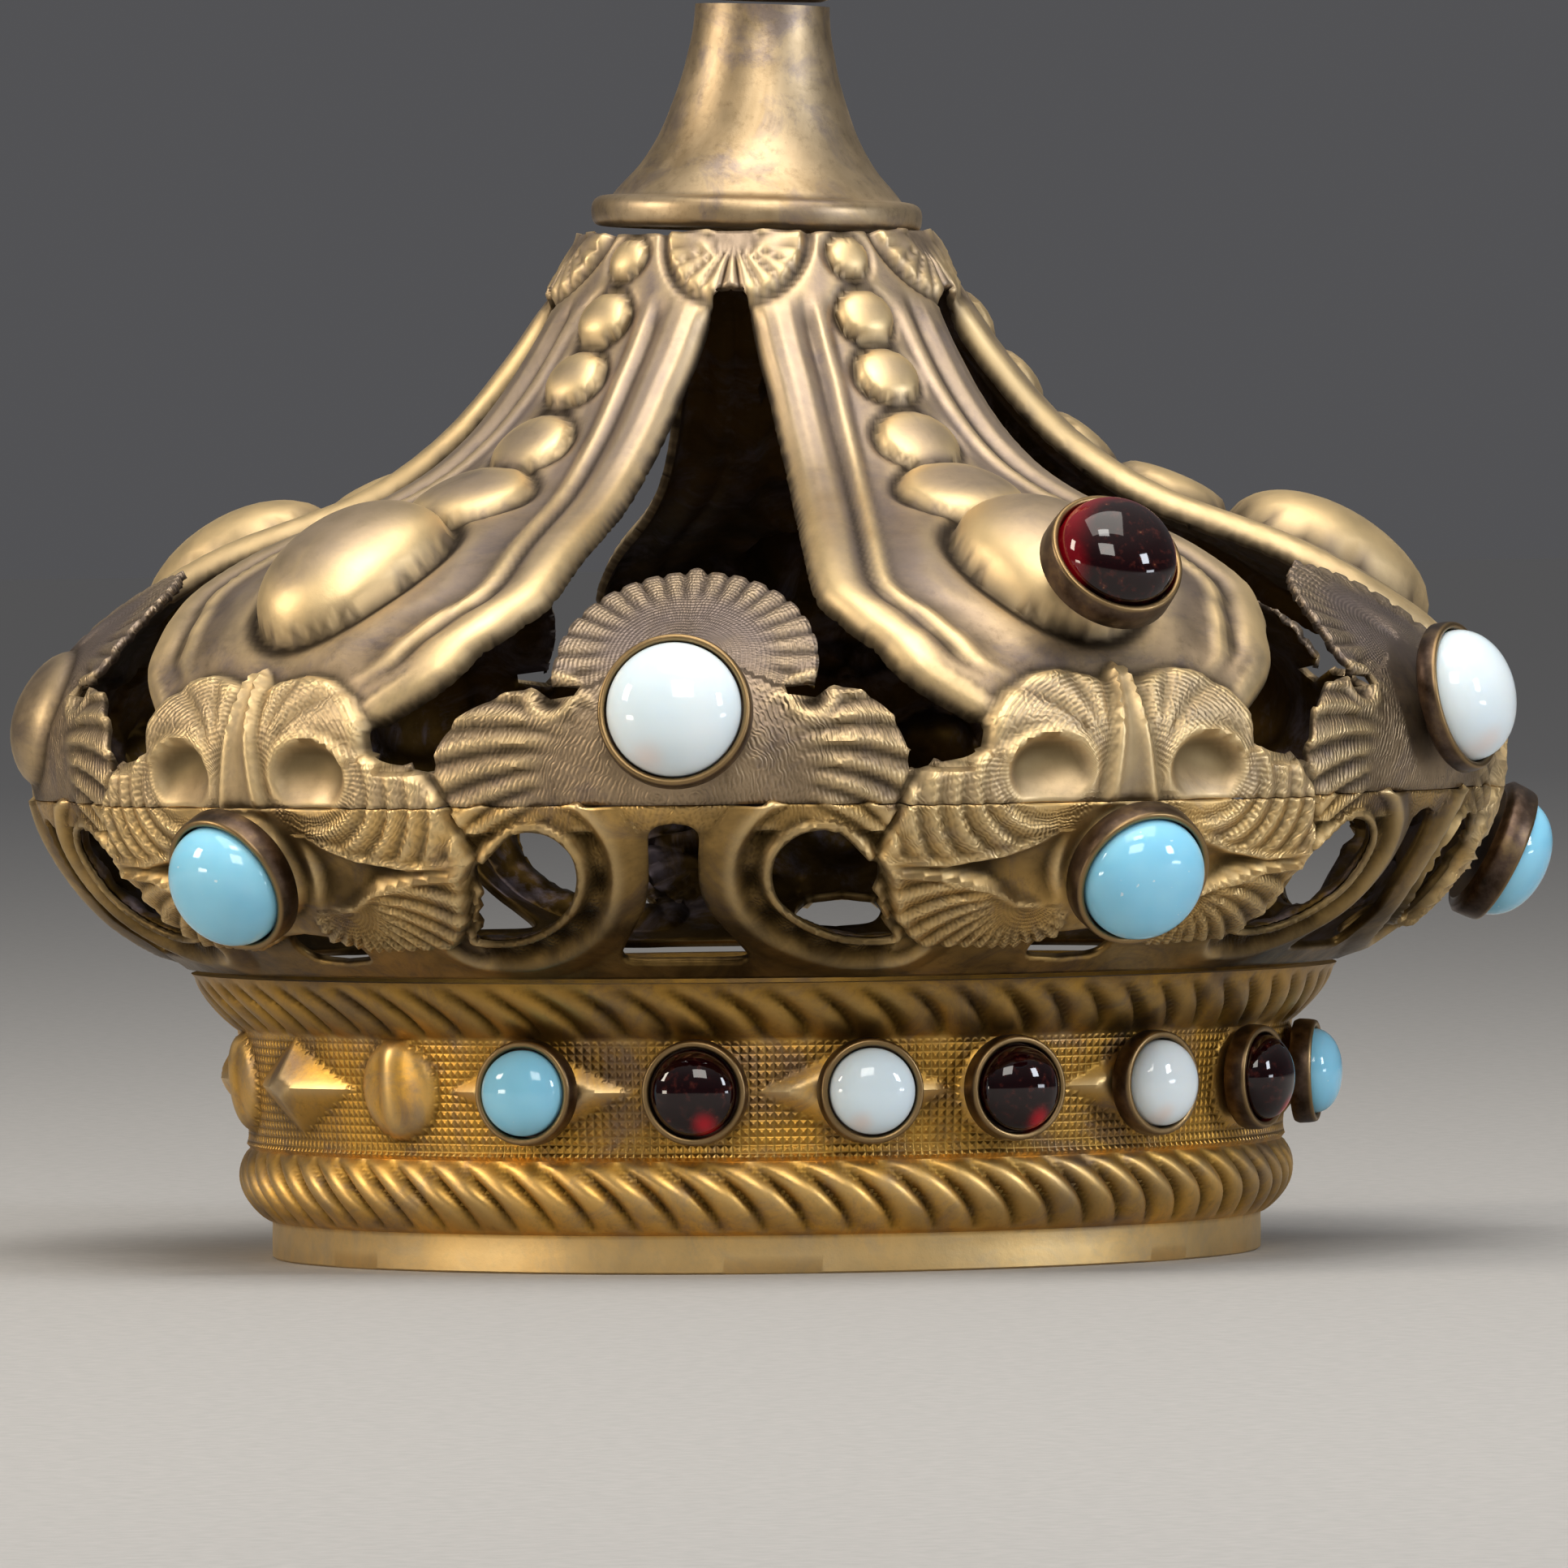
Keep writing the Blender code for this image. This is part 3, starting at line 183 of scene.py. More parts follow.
def mottled(tree, place, scale, detail, roughness=0.5, distortion=0.0):
    """Noise over Object coordinates, its scale in waves per metre."""
    return node(tree, "ShaderNodeTexNoise", {
        "Vector": place, "Scale": scale, "Detail": detail, "Roughness": roughness,
        "Distortion": distortion}).outputs["Fac"]


def begun(name):
    """A new material with its node tree, its shader and the Object coordinates."""
    made = bpy.data.materials.new(name)
    made.use_nodes = True
    tree = made.node_tree
    return made, tree, tree.nodes["Principled BSDF"], node(tree, "ShaderNodeTexCoord").outputs["Object"]


def metal(tree, shader, colour, gloss, height, strength, depth):
    """Finishes a metal with its colour, its roughness and a bump of a depth in millimetres."""
    tree.links.new(colour, shader.inputs["Base Color"])
    tree.links.new(gloss, shader.inputs["Roughness"])
    shader.inputs["Metallic"].default_value = 1.0
    bump = node(tree, "ShaderNodeBump", {"Height": height, "Strength": strength, "Distance": depth * MM})
    tree.links.new(bump.outputs["Normal"], shader.inputs["Normal"])


def chased(tree, hatch, stains):
    """The chased ground's height: a wandering basket weave or plain rows of dots."""
    lines = attribute(tree, "hatch")["Vector"]
    parts = node(tree, "ShaderNodeSeparateXYZ", {"Vector": lines}).outputs
    across, up = parts["X"], parts["Y"]
    if hatch == "weave":
        wander = times(tree, stains, WEAVE_WANDER)
        first = wave(tree, plus(tree, plus(tree, across, up), wander), WEAVE_PITCH)
        second = maths(tree, "SUBTRACT", maths(tree, "SUBTRACT", across, up), wander)
        height = times(tree, first, wave(tree, second, WEAVE_CROSS_PITCH))
    else:
        dots = maths(tree, "MINIMUM", wave(tree, across, DOT_PITCH), wave(tree, up, DOT_PITCH))
        height = plus(tree, dots, 0.5)
    return times(tree, height, parts["Z"])


def gilt_brass(name, gold, tarnish, roughness, hatch="", carved=True):
    """Mercury-gilt sheet brass, aged: warm gold where it rubs, with a painted highlight on the crests, dull
    tan elsewhere, dirt and painted shade in the folds, and painted shade under the bowl, between the scrolls,
    on the palmettes and over the band's upper rope.

    The satin sheen comes from a century of handling, so the roughness wanders over millimetres.
    The chased ground is a bump: a basket weave on the leaves and rows of dots on the band.
    """
    made, tree, shader, place = begun(name)
    clouds = mottled(tree, place, 110.0, 5.0, 0.65, 0.6)
    specks = mottled(tree, place, 1300.0, 4.0, 0.75)
    stains = mottled(tree, place, 420.0, 3.0, 0.6)
    patches = mottled(tree, place, 210.0, 6.0, 0.7, 0.9)
    blotch = ramp(tree, clouds, (0.4, grey(0.0)), (0.62, grey(1.0)))
    bruise = ramp(tree, patches, (0.5, grey(0.0)), (0.66, grey(0.55)))
    grime = ramp(tree, specks, (0.52, grey(0.0)), (0.82, grey(0.5)))
    colour = mixed(tree, blotch, linear(gold), linear(tarnish))
    colour = mixed(tree, bruise, colour, linear(BRUISE))
    colour = mixed(tree, grime, colour, linear(GRIME))
    gloss = plus(tree, times(tree, stains, 0.28), roughness - 0.14)
    if carved:
        marks = ("hollow", "crest", "tint", "painted_shade")
        hollow, crest, tint, painted_shade = (attribute(tree, mark)["Fac"] for mark in marks)
        colour = mixed(tree, times(tree, tint, plus(tree, stains, 0.35)), colour, linear(TARNISH_GREY))
        # Painted shade: darker brown under the bowl, between the scrolls, on the palmettes and over the
        # band's upper rope
        colour = mixed(tree, times(tree, painted_shade, plus(tree, patches, 0.5)), colour, linear(PAINTED_SHADE_BROWN))
        # Dirt and painted shade darken the hollows
        colour = mixed(tree, hollow, colour, linear(DIRT_AND_PAINTED_SHADE))
        # Rubbed gilding and a painted highlight lighten the crests, less where shade is painted
        rubbed_and_highlight = maths(tree, "SUBTRACT", 0.85, times(tree, painted_shade, 0.85))
        colour = mixed(tree, times(tree, crest, rubbed_and_highlight), colour, linear(RUBBED_GOLD_AND_HIGHLIGHT))
        gloss = plus(tree, gloss, times(tree, hollow, 0.2))
    height = times(tree, specks, 0.5)
    if hatch:
        ground = chased(tree, hatch, stains)
        height = plus(tree, height, ground)
        # The chased ground's low lines are coloured darker
        low_lines = maths(tree, "MAXIMUM", times(tree, ground, -0.34), 0.0)
        colour = mixed(tree, maths(tree, "MINIMUM", low_lines, 0.6), colour, linear(CHASED_LOW_LINE_COLOUR))
    metal(tree, shader, colour, gloss, height, 0.7, 0.045)
    return made


def dark_brass():
    """Collet strip, brass gone brown under handling, bright only where its lip was burnished."""
    made, tree, shader, place = begun("browned_brass_strip")
    clouds = mottled(tree, place, 500.0, 4.0, 0.65)
    colour = ramp(tree, clouds, (0.35, linear("#3A2E25")), (0.55, linear("#5D4D43")),
                  (0.75, linear("#857052")))
    lip = attribute(tree, "crest")["Fac"]
    colour = mixed(tree, times(tree, lip, 0.8), colour, linear("#9C8158"))
    metal(tree, shader, colour, plus(tree, times(tree, clouds, 0.3), 0.25), clouds, 0.4, 0.06)
    return made


def milky(shader, weight, tint, depth):
    """Light wandering under the glass's skin to a depth in millimetres."""
    shader.inputs["Subsurface Weight"].default_value = weight
    shader.inputs["Subsurface Radius"].default_value = tint
    shader.inputs["Subsurface Scale"].default_value = depth * MM


def turquoise_glass():
    """Opaque pressed glass, sky blue with a faint swirl and specks of dust, polished by fire."""
    made, tree, shader, place = begun("turquoise_pressed_glass")
    swirl = mottled(tree, place, 260.0, 2.0)
    dust = mottled(tree, place, 2600.0, 1.0)
    colour = ramp(tree, swirl, (0.3, linear("#86CBE9")), (0.7, linear("#98D6EE")))
    colour = mixed(tree, ramp(tree, dust, (0.76, grey(0.0)), (0.8, grey(0.7))), colour, linear("#DCEAF0"))
    tree.links.new(colour, shader.inputs["Base Color"])
    tree.links.new(plus(tree, times(tree, dust, 0.06), 0.04), shader.inputs["Roughness"])
    milky(shader, 0.3, (0.3, 0.8, 1.0), 0.8)
    shader.inputs["IOR"].default_value = 1.5
    return made


def opal_glass():
    """Milk glass, nearly opaque, bluish white, with a painted warm glow near its lower edge, standing for
    light coming through where it is thin.
    """
    made, tree, shader, place = begun("opal_milk_glass")
    colour = ramp(tree, mottled(tree, place, 180.0, 1.0), (0.35, linear("#D8E7EF")), (0.7, linear("#E6EFF2")))
    painted_glow = attribute(tree, "painted_glow")["Fac"]
    # A painted warm glow, standing for light coming through the glass
    colour = mixed(tree, times(tree, painted_glow, 0.35), colour, linear("#F0C3A8"))
    tree.links.new(colour, shader.inputs["Base Color"])
    shader.inputs["Roughness"].default_value = 0.05
    milky(shader, 0.6, (1.0, 0.85, 0.75), 1.0)
    shader.inputs["IOR"].default_value = 1.5
    return made


def garnet_glass():
    """Deep red glass over a foil back: nearly black, with a painted red glow, which also emits light, where
    light would come through.
    """
    made, tree, shader, place = begun("garnet_foiled_glass")
    motes = mottled(tree, place, 2300.0, 2.0)
    painted_glow = attribute(tree, "painted_glow")["Fac"]
    deep = ramp(tree, motes, (0.55, linear("#140103")), (0.72, linear("#3A1410")), (0.8, linear("#7A5238")))
    # A painted red glow where light would come through
    tree.links.new(mixed(tree, painted_glow, deep, linear("#6A0312")), shader.inputs["Base Color"])
    shader.inputs["Roughness"].default_value = 0.05
    shader.inputs["IOR"].default_value = 1.5
    shader.inputs["Specular IOR Level"].default_value = 0.45
    # The painted glow also emits light, though the glass is no lamp
    shader.inputs["Emission Strength"].default_value = 0.35
    tree.links.new(mixed(tree, painted_glow, grey(0.0), linear("#B00518")), shader.inputs["Emission Color"])
    return made


# Curves on the flat pattern

PATTERN_TOP = 63.4
SEAM = 13.85
SEAM_HALF_GAP = 0.04
DEGREE = 0.754


def smooth_curve(points, step):
    """Points about step apart on a smooth curve through the given ones."""
    knots = [np.array(p, float) for p in points]
    if len(knots) == 2:
        dense = [knots[0] + (knots[1] - knots[0]) * t for t in np.linspace(0, 1, 40)]
    else:
        knots = [2 * knots[0] - knots[1]] + knots + [2 * knots[-1] - knots[-2]]
        dense = [knots[1]]
        for a, b, c, d in zip(knots, knots[1:], knots[2:], knots[3:]):
            for t in np.linspace(0, 1, 17)[1:]:
                dense.append(0.5 * (2 * b + (c - a) * t + (2 * a - 5 * b + 4 * c - d) * t**2
                                    + (3 * b - a - 3 * c + d) * t**3))
    dense = np.array(dense)
    length = np.r_[0, np.cumsum(np.hypot(*np.diff(dense, axis=0).T))]
    count = max(1, round(length[-1] / step))
    places = np.linspace(0, length[-1], count + 1)
    return np.c_[np.interp(places, length, dense[:, 0]), np.interp(places, length, dense[:, 1])]


# The body's section, as shares of the girth's radius and of the body's rise
BODY_SECTION = [(0.905, 0.084), (0.977, 0.184), (1.0, 0.284), (0.988, 0.361), (0.915, 0.465), (0.755, 0.568),
                (0.556, 0.645), (0.443, 0.72), (0.351, 0.822), (0.281, 0.925)]


def body_outline():
    """Radius and height of the sheet's outer face from foot to top, in metres."""
    section = [(out * GIRTH_RADIUS, BODY_FOOT + up * BODY_RISE) for out, up in BODY_SECTION]
    top = (CROWN_TOP_RADIUS, BODY_FOOT + BODY_RISE)
    return smooth_curve([(FOOT_RADIUS, BODY_FOOT)] + section + [top], 0.25 * MM)


OUTLINE = body_outline()
OUTLINE_LENGTH = np.r_[0, np.cumsum(np.hypot(*np.diff(OUTLINE, axis=0).T))]


def on_outline(v):
    """Radius, height and the outward normal's two parts at v millimetres up the pattern."""
    s = np.asarray(v, float) / PATTERN_TOP * OUTLINE_LENGTH[-1]
    ahead = np.minimum(s + 0.6 * MM, OUTLINE_LENGTH[-1])
    behind = np.maximum(s - 0.6 * MM, 0.0)
    radius, height = (np.interp(s, OUTLINE_LENGTH, OUTLINE[:, i]) for i in (0, 1))
    out, up = (np.interp(ahead, OUTLINE_LENGTH, OUTLINE[:, i])
               - np.interp(behind, OUTLINE_LENGTH, OUTLINE[:, i]) for i in (0, 1))
    length = np.hypot(out, up)
    return radius, height, up / length, -out / length


def settled(degrees, v):
    """Bearings as handling has left them: the front palmette leans towards the front arch."""
    aside = np.abs((degrees - LEANING_PALMETTE + 180.0) % 360.0 - 180.0)
    low_share = np.interp(aside, [LOBE_REACH + 2.7, HALF - CONTACT[0]], [1.0, 0.0])
    high_share = (aside < LOBE_REACH) & (np.asarray(v) < PALMETTE_TOP)
    share = np.where(np.asarray(v) > SIDE_LOBE_TOP, high_share, low_share)
    return degrees + share * np.interp(v, LEAN_HEIGHTS, [0.0, PALMETTE_LEAN])


def bent(degrees, v, lift):
    """Places in space of points of the pattern, lifted off the sheet by lift metres."""
    radius, height, out, up = on_outline(v)
    turn = np.radians(settled(degrees, v))
    reach = radius + lift * out
    return np.c_[AXIS.x + reach * np.sin(turn), AXIS.y - reach * np.cos(turn), height + lift * up]


def from_arch(degrees):
    """Degrees from the middle of the nearest arch, 0 to HALF."""
    return np.abs((degrees + HALF) % SECTOR - HALF)


# Outlines of the openwork, each as degrees from the arch's middle and millimetres up

def from_palmette(*points):
    """Points given in degrees from the palmette's middle, counted from the arch's."""
    return [(HALF - aside, v) for aside, v in points]


LOBE_MIDDLE = 23.1
LOBE_RADIUS = 7.5
LOBE_END = -18.0
FLUTES = 9
PALMETTE_BOSS = 18.9
MASK_BOSS = 10.1
MASK_BOSS_TOP = 2.4
MASK_BOSS_FOOT = 4.0
CONTACT = (17.7, 15.67)
LEANING_PALMETTE = -36.0
PALMETTE_LEAN = 1.25
LEAN_HEIGHTS = (8.0, 23.0)
SIDE_LOBE_TOP = 21.2
LOBE_REACH = 11.3
PALMETTE_TOP = 32.0
EYE = (6.7, 15.5)
LEAF_CORNER = (11.9, 16.7)
ARCH_FOOT = 22.6
PALMETTE_MARGIN = 0.6
EGG_WIDEST = 31.3
EGG_BELOW = 7.0
EGG_ABOVE = 6.4
EGG_HALF_WIDTH = 5.1
EGG_HEIGHT = 3.2
BEADS = [(41.6, 3.75, 1.3), (47.8, 2.5, 0.8), (53.2, 1.95, 0.75), (57.6, 1.75, 0.7), (61.7, 1.3, 0.5)]

ARCH_EDGE = [(12.4, 18.8), (14.2, 19.8), (16.6, 21.2), (18.2, 22.7), (19.3, 24.3), (20.8, 25.6),
             (22.0, 27.0), (23.3, 28.5), (23.9, 31.0), (24.0, 36.0), (23.9, 41.5), (24.3, 46.8),
             (26.3, 52.2), (28.4, 55.2), (31.2, 58.9)]
GAP_TOP = [(31.2, 58.9), (32.6, 59.5), (HALF, 59.6)]
MASK_LOBE = [CONTACT, (16.6, 15.9), (15.2, 16.2), (13.3, 16.45), (11.9, 17.0)]
MASK_CORNER = [(11.9, 17.0), (11.7, 18.3), (12.4, 18.8)]
SIDE_LOBE = from_palmette((10.4, 20.3), (12.2, 20.7), (14.7, 20.05), (16.8, 18.75), (18.0, 17.1)) + [CONTACT]
NOTCH = from_palmette((10.3, 20.9), (7.9, 20.9), (8.2, 20.1), (10.4, 20.3))
STEM_OPENING = from_palmette((0.0, 12.8), (1.3, 12.6), (1.95, 12.0), (1.95, 10.5), (2.05, 8.7), (2.6, 7.0),
                             (3.7, 5.5), (4.9, 3.85), (5.8, 2.3), (4.9, 1.6), (0.0, 1.55))
SCROLL_EYE = from_palmette((15.4, 10.3), (12.8, 12.1), (11.3, 12.3), (9.6, 12.0), (8.2, 11.0), (7.8, 9.8),
                           (8.0, 8.6), (8.7, 7.4), (10.2, 6.2), (12.1, 5.2), (14.3, 4.5), (16.5, 4.3),
                           (18.5, 4.4))
SCROLL_EYE_BACK = from_palmette((18.5, 4.4), (17.8, 5.5), (16.9, 6.9), (16.5, 8.6), (16.2, 10.0),
                                (15.4, 10.3))
FOOT_OPENING = [(0.0, 4.85), (2.4, 4.7), (3.6, 3.9), (4.2, 2.9), (3.5, 1.7), (0.0, 1.3)]
MASK_EDGE = [(0.0, 22.1), (1.4, 20.9), (5.0, 21.7), (7.5, 21.3), (10.0, 20.2), (11.5, 18.6),
             (11.7, 17.0), (13.3, 16.5), (16.6, 15.8), (18.1, 14.4), (20.0, 10.6), (18.9, 9.1),
             (18.0, 6.2), (15.6, 3.9), (7.0, 3.5), (2.5, 4.6), (0.0, 4.85)]
MIDRIB_UPPER = [(5.5, 12.2), (10.0, 10.9), (14.5, 10.3), (20.0, 10.6)]
MIDRIB_LOWER = [(5.5, 7.2), (8.0, 7.6), (11.0, 8.9), (14.5, 9.5), (20.0, 10.2)]
ARCH_SIDE = smooth_curve(ARCH_EDGE + [(34.0, PATTERN_TOP)], 0.3)


def flat(points):
    """Pattern points as plain millimetres, with degrees measured at the girth."""
    return np.array([(w * DEGREE, v) for w, v in points])


def curve(points, step):
    """A smooth curve of the pattern in plain millimetres."""
    return smooth_curve(flat(points), step)


def joined(*runs):
    """Runs of points end to end, each run without its last point."""
    return np.concatenate([run[:-1] for run in runs])


def arch_edge_at(v):
    """Half the arch's width in degrees at v."""
    return np.interp(v, ARCH_SIDE[:, 1], ARCH_SIDE[:, 0])


def inside(x, y, outline):
    """Which points lie within a closed outline."""
    within = np.zeros(len(x), bool)
    for (ax, ay), (bx, by) in zip(outline, np.roll(outline, -1, axis=0)):
        if ay == by:
            continue
        crosses = (ay > y) != (by > y)
        within ^= crosses & (x < ax + (y - ay) * (bx - ax) / (by - ay))
    return within


def distance(x, y, path):
    """Each point's distance to a path of straight runs, and how far along the path that is."""
    best = np.full(len(x), 1e9)
    along, done = np.zeros(len(x)), 0.0
    for (ax, ay), (bx, by) in zip(path, path[1:]):
        dx, dy = bx - ax, by - ay
        length = max(math.hypot(dx, dy), 1e-9)
        t = np.clip(((x - ax) * dx + (y - ay) * dy) / length**2, 0.0, 1.0)
        d = np.hypot(x - ax - t * dx, y - ay - t * dy)
        along = np.where(d < best, done + t * length, along)
        best = np.minimum(best, d)
        done += length
    return best, along


# Relief, in millimetres off the plain sheet

# Distance in from the arch's edge, and the height there
BORDER = [(0.0, -1.25), (0.3, -0.6), (0.8, -0.1), (1.5, 0.12), (2.3, 0.1), (2.8, -0.12), (3.2, -0.36),
          (3.5, -0.22), (3.9, 0.06), (4.3, 0.0), (4.7, -0.22), (5.6, -0.2), (7.0, 0.0)]
# Distance out from a scroll's opening, and the height there
SCROLL = [(0.0, 0.15), (0.2, 0.42), (0.45, 0.36), (0.75, -0.15), (1.1, -0.3), (1.7, -0.2), (2.1, 0.15),
          (2.4, 0.5), (2.7, 0.52), (3.2, 0.35), (4.4, 0.0)]
# Height up the pattern, and degrees from the arch's middle
CREASE = [(0.0, 17.0), (4.4, 17.5), (8.6, 19.5), (10.4, 20.5), (15.67, 17.7)]
# Share of the spear's half width, and the share of its height there
SPEAR = [(0.0, 0.35), (0.5, 0.5), (0.82, 1.0), (1.0, 0.8), (1.25, 0.05), (1.7, 0.0)]
# Where ribs fan out from, in millimetres from the leaf's or the palmette's middle line
LEAF_ROOT = (1.3, 13.4)
LEAF_LOW_ROOT = (5.4, 7.6)
LOBE_ROOT = (1.2, 14.4)
CURL_MIDDLE = (7.6, 20.2)
BARE_BOSS_RADIUS = 4.2
LEAF_HATCH = 0.8
RING_FOOT = 57.0
RING_FACE = 59.6
RING_FAN = 62.9


def through(value, pairs):
    """Reads a value off straight runs between (place, height) pairs."""
    return np.interp(value, *zip(*pairs))


def swell(d, radius):
    """1 in the middle, 0 at the radius, smooth between."""
    return 0.5 + 0.5 * np.cos(np.pi * np.minimum(np.abs(d) / radius, 1.0))


def eased(value, low, high):
    """0 below low, 1 above high, smooth between."""
    t = np.clip((value - low) / (high - low), 0.0, 1.0)
    return t * t * (3.0 - 2.0 * t)


def ribs(turns):
    """Rounded ribs with sharp valleys, one for each whole turn."""
    part = turns - np.floor(turns)
    return 1.0 - np.abs(2.0 * part - 1.0) ** 2.4


def steps(turns):
    """Overlapping leaves, each rising fast to its edge and sloping away to the next one's foot."""
    part = turns - np.floor(turns)
    return np.where(part < 0.22, part / 0.22, ((1.0 - part) / 0.78) ** 0.8)


def near_stone(degrees, places):
    """Which bearings are on the same arch or palmette as one of the stones."""
    near = np.zeros(len(degrees), bool)
    for at in places:
        near |= np.abs((degrees - at + 180.0) % 360.0 - 180.0) < 20.0
    return near


GARNET_PLACES = [-0.8]
TURQUOISE_PLACES = [-SECTOR, 0.0, SECTOR]
OPAL_PLACES = [-HALF, HALF]
BAND_SLIP = 360.0 / (2 * ROPE_STRANDS)
SLIPPED_PAIRS = (0, 1)
BAND_STONES = [(-54.0, "turquoise"), (-36.0, "garnet"), (-18.0, "opal"), (-BAND_SLIP, "garnet"),
               (18.0 - BAND_SLIP, "opal"), (36.0 - BAND_SLIP, "garnet"),
               (54.0 - BAND_SLIP, "turquoise")]
LARGE_STONE_PLACES = {"garnet": GARNET_PLACES, "turquoise": TURQUOISE_PLACES, "opal": OPAL_PLACES}


def arch_relief(degrees, v):
    """The arch's rolled borders, grooves and second ridge, the egg and the beads."""
    w = from_arch(degrees)
    across = np.radians(on_outline(v)[0] / MM)
    slope = (arch_edge_at(v + 2.0) - arch_edge_at(v - 2.0)) / 4.0 * across
    edge = np.maximum(0.0, (arch_edge_at(v) - w) * across) / np.sqrt(1.0 + slope * slope)
    ring = eased(v, RING_FOOT, RING_FACE)
    fade = np.where(edge > 2.0, eased(v, 20.5, 24.0), 1.0)
    height = through(edge, BORDER) * fade * (1.0 - ring)
    x = w * across
    reach = np.where(v > EGG_WIDEST, EGG_ABOVE, EGG_BELOW)
    out = np.hypot(x / EGG_HALF_WIDTH, (v - EGG_WIDEST) / reach)
    height -= 0.3 * swell((out - 1.08) * 5.0, 0.9) * (out > 0.98)
    height = np.maximum(height, EGG_HEIGHT * np.sqrt(np.maximum(0.0, 1.0 - out * out)) - 4.0 * (out >= 1.0))
    for middle, radius, rise in BEADS:
        d = np.hypot(x, v - middle) / radius
        height -= 0.2 * swell((d - 1.1) * radius, 0.55) * (d > 1.0)
        dome = rise * np.sqrt(np.maximum(0.0, 1.0 - d * d))
        height = np.where(d < 1.0, np.maximum(height, dome), height)
    sideways = (HALF - w) * across
    fan = np.degrees(np.arctan2(RING_FAN - v, np.maximum(sideways, 1e-6)))
    fan_reach = np.hypot(sideways, RING_FAN - v)
    leaf = 0.28 * ribs(fan / 18.0 + 0.5) * eased(fan_reach, 0.6, 2.0) + 0.12
    height += leaf * eased(4.2 - fan_reach, 0.0, 0.4) * ring
    height -= 0.3 * swell(fan_reach - 4.5, 0.5) * ring
    return height, np.zeros((len(w), 3))


def leaf_eye(x, v):
    """The hollow eye: distance from its middle, angle round it, and its bowl under a raised brow."""
    aside, up = x - EYE[0] * DEGREE, v - EYE[1]
    from_eye = np.hypot(aside / 1.12, up * 1.12)
    angle = np.degrees(np.arctan2(up, aside))
    brow = 0.5 + 0.5 * np.cos(np.radians(angle - 100.0))
    rim = (0.05 + 0.4 * brow) * swell(from_eye - 2.35, 0.7)
    cup = np.maximum(0.0, 1.0 - (from_eye / 2.4) ** 2) ** 0.9
    lean = np.clip(0.55 + 0.45 * (up + 0.35 * aside) / 1.7, 0.0, 1.1)
    return from_eye, angle, rim - 1.9 * cup * lean


def leaf_sections(x, v, w, from_eye, angle, half):
    """The leaf's fan, side leaf, trough and lower fan.

    Each comes as where it lies, its ribs, its hatching's two coordinates and that hatching's strength.
    """
    dx, dy = np.maximum(x - LEAF_ROOT[0], 0.0), v - LEAF_ROOT[1]
    reach = np.hypot(dx, dy)
    bend = np.minimum(2.0 * dx / np.maximum(dx * dx + dy * dy, 1e-3), 0.9)
    aside, up = x - EYE[0] * DEGREE, v - EYE[1]
    corner = (LEAF_CORNER[0] - EYE[0]) * DEGREE, LEAF_CORNER[1] - EYE[1]
    above = np.where(aside > 0.0, aside * corner[1] < up * corner[0], v > 14.2)
    turns = 17.0 * bend / (1.0 + 1.2 * bend)
    fan = 0.30 * ribs(turns) * eased(reach, 1.6, 4.2) * eased(x - 1.3 * half, 0.0, 0.8)

    upper, lower = through(w, MIDRIB_UPPER), through(w, MIDRIB_LOWER)
    beside = 0.42 * steps((from_eye - 2.4 + 0.25 * up) / 1.12) * eased(from_eye, 2.6, 3.6)
    beside *= eased(v - upper, 0.0, 0.8) * eased(x, 3.4, 5.4)
    share = np.clip((v - lower) / np.maximum(upper - lower, 0.1), 0.0, 1.0)
    trough = -0.6 * np.sin(np.pi * share) * eased(upper - lower, 0.2, 1.6)
    turn = np.degrees(np.arctan2(v - LEAF_LOW_ROOT[1], x - LEAF_LOW_ROOT[0]))
    from_root = np.hypot(x - LEAF_LOW_ROOT[0], v - LEAF_LOW_ROOT[1])
    below = 0.4 * steps(-(turn + 4.0 * from_root) / 13.0) * eased(from_root, 1.4, 3.2)
    crest = 0.34 * (swell(v - upper, 0.5) + swell(v - lower, 0.5)) * eased(w, 5.0, 8.0)
    bare = np.zeros(len(x))
    return [(above, fan, reach, bend * 12.0, LEAF_HATCH),
            (~above & (v > upper), beside, angle * 0.06, from_eye, LEAF_HATCH),
            ((v <= upper) & (v >= lower) & (w > 4.5), trough, bare, bare, 0.0),
            ((v < lower) & (w > 3.0), below, from_root, turn * 0.06, LEAF_HATCH)], crest


def leaf_boss(degrees, from_boss):
    """The seat under a stone, or a round boss where the leaf has none."""
    seat = 1.3 * eased((MASK_BOSS_FOOT - from_boss) / (MASK_BOSS_FOOT - MASK_BOSS_TOP), 0.0, 1.0)
    return np.where(near_stone(degrees, TURQUOISE_PLACES), seat, 2.4 * swell(from_boss, MASK_BOSS_FOOT))


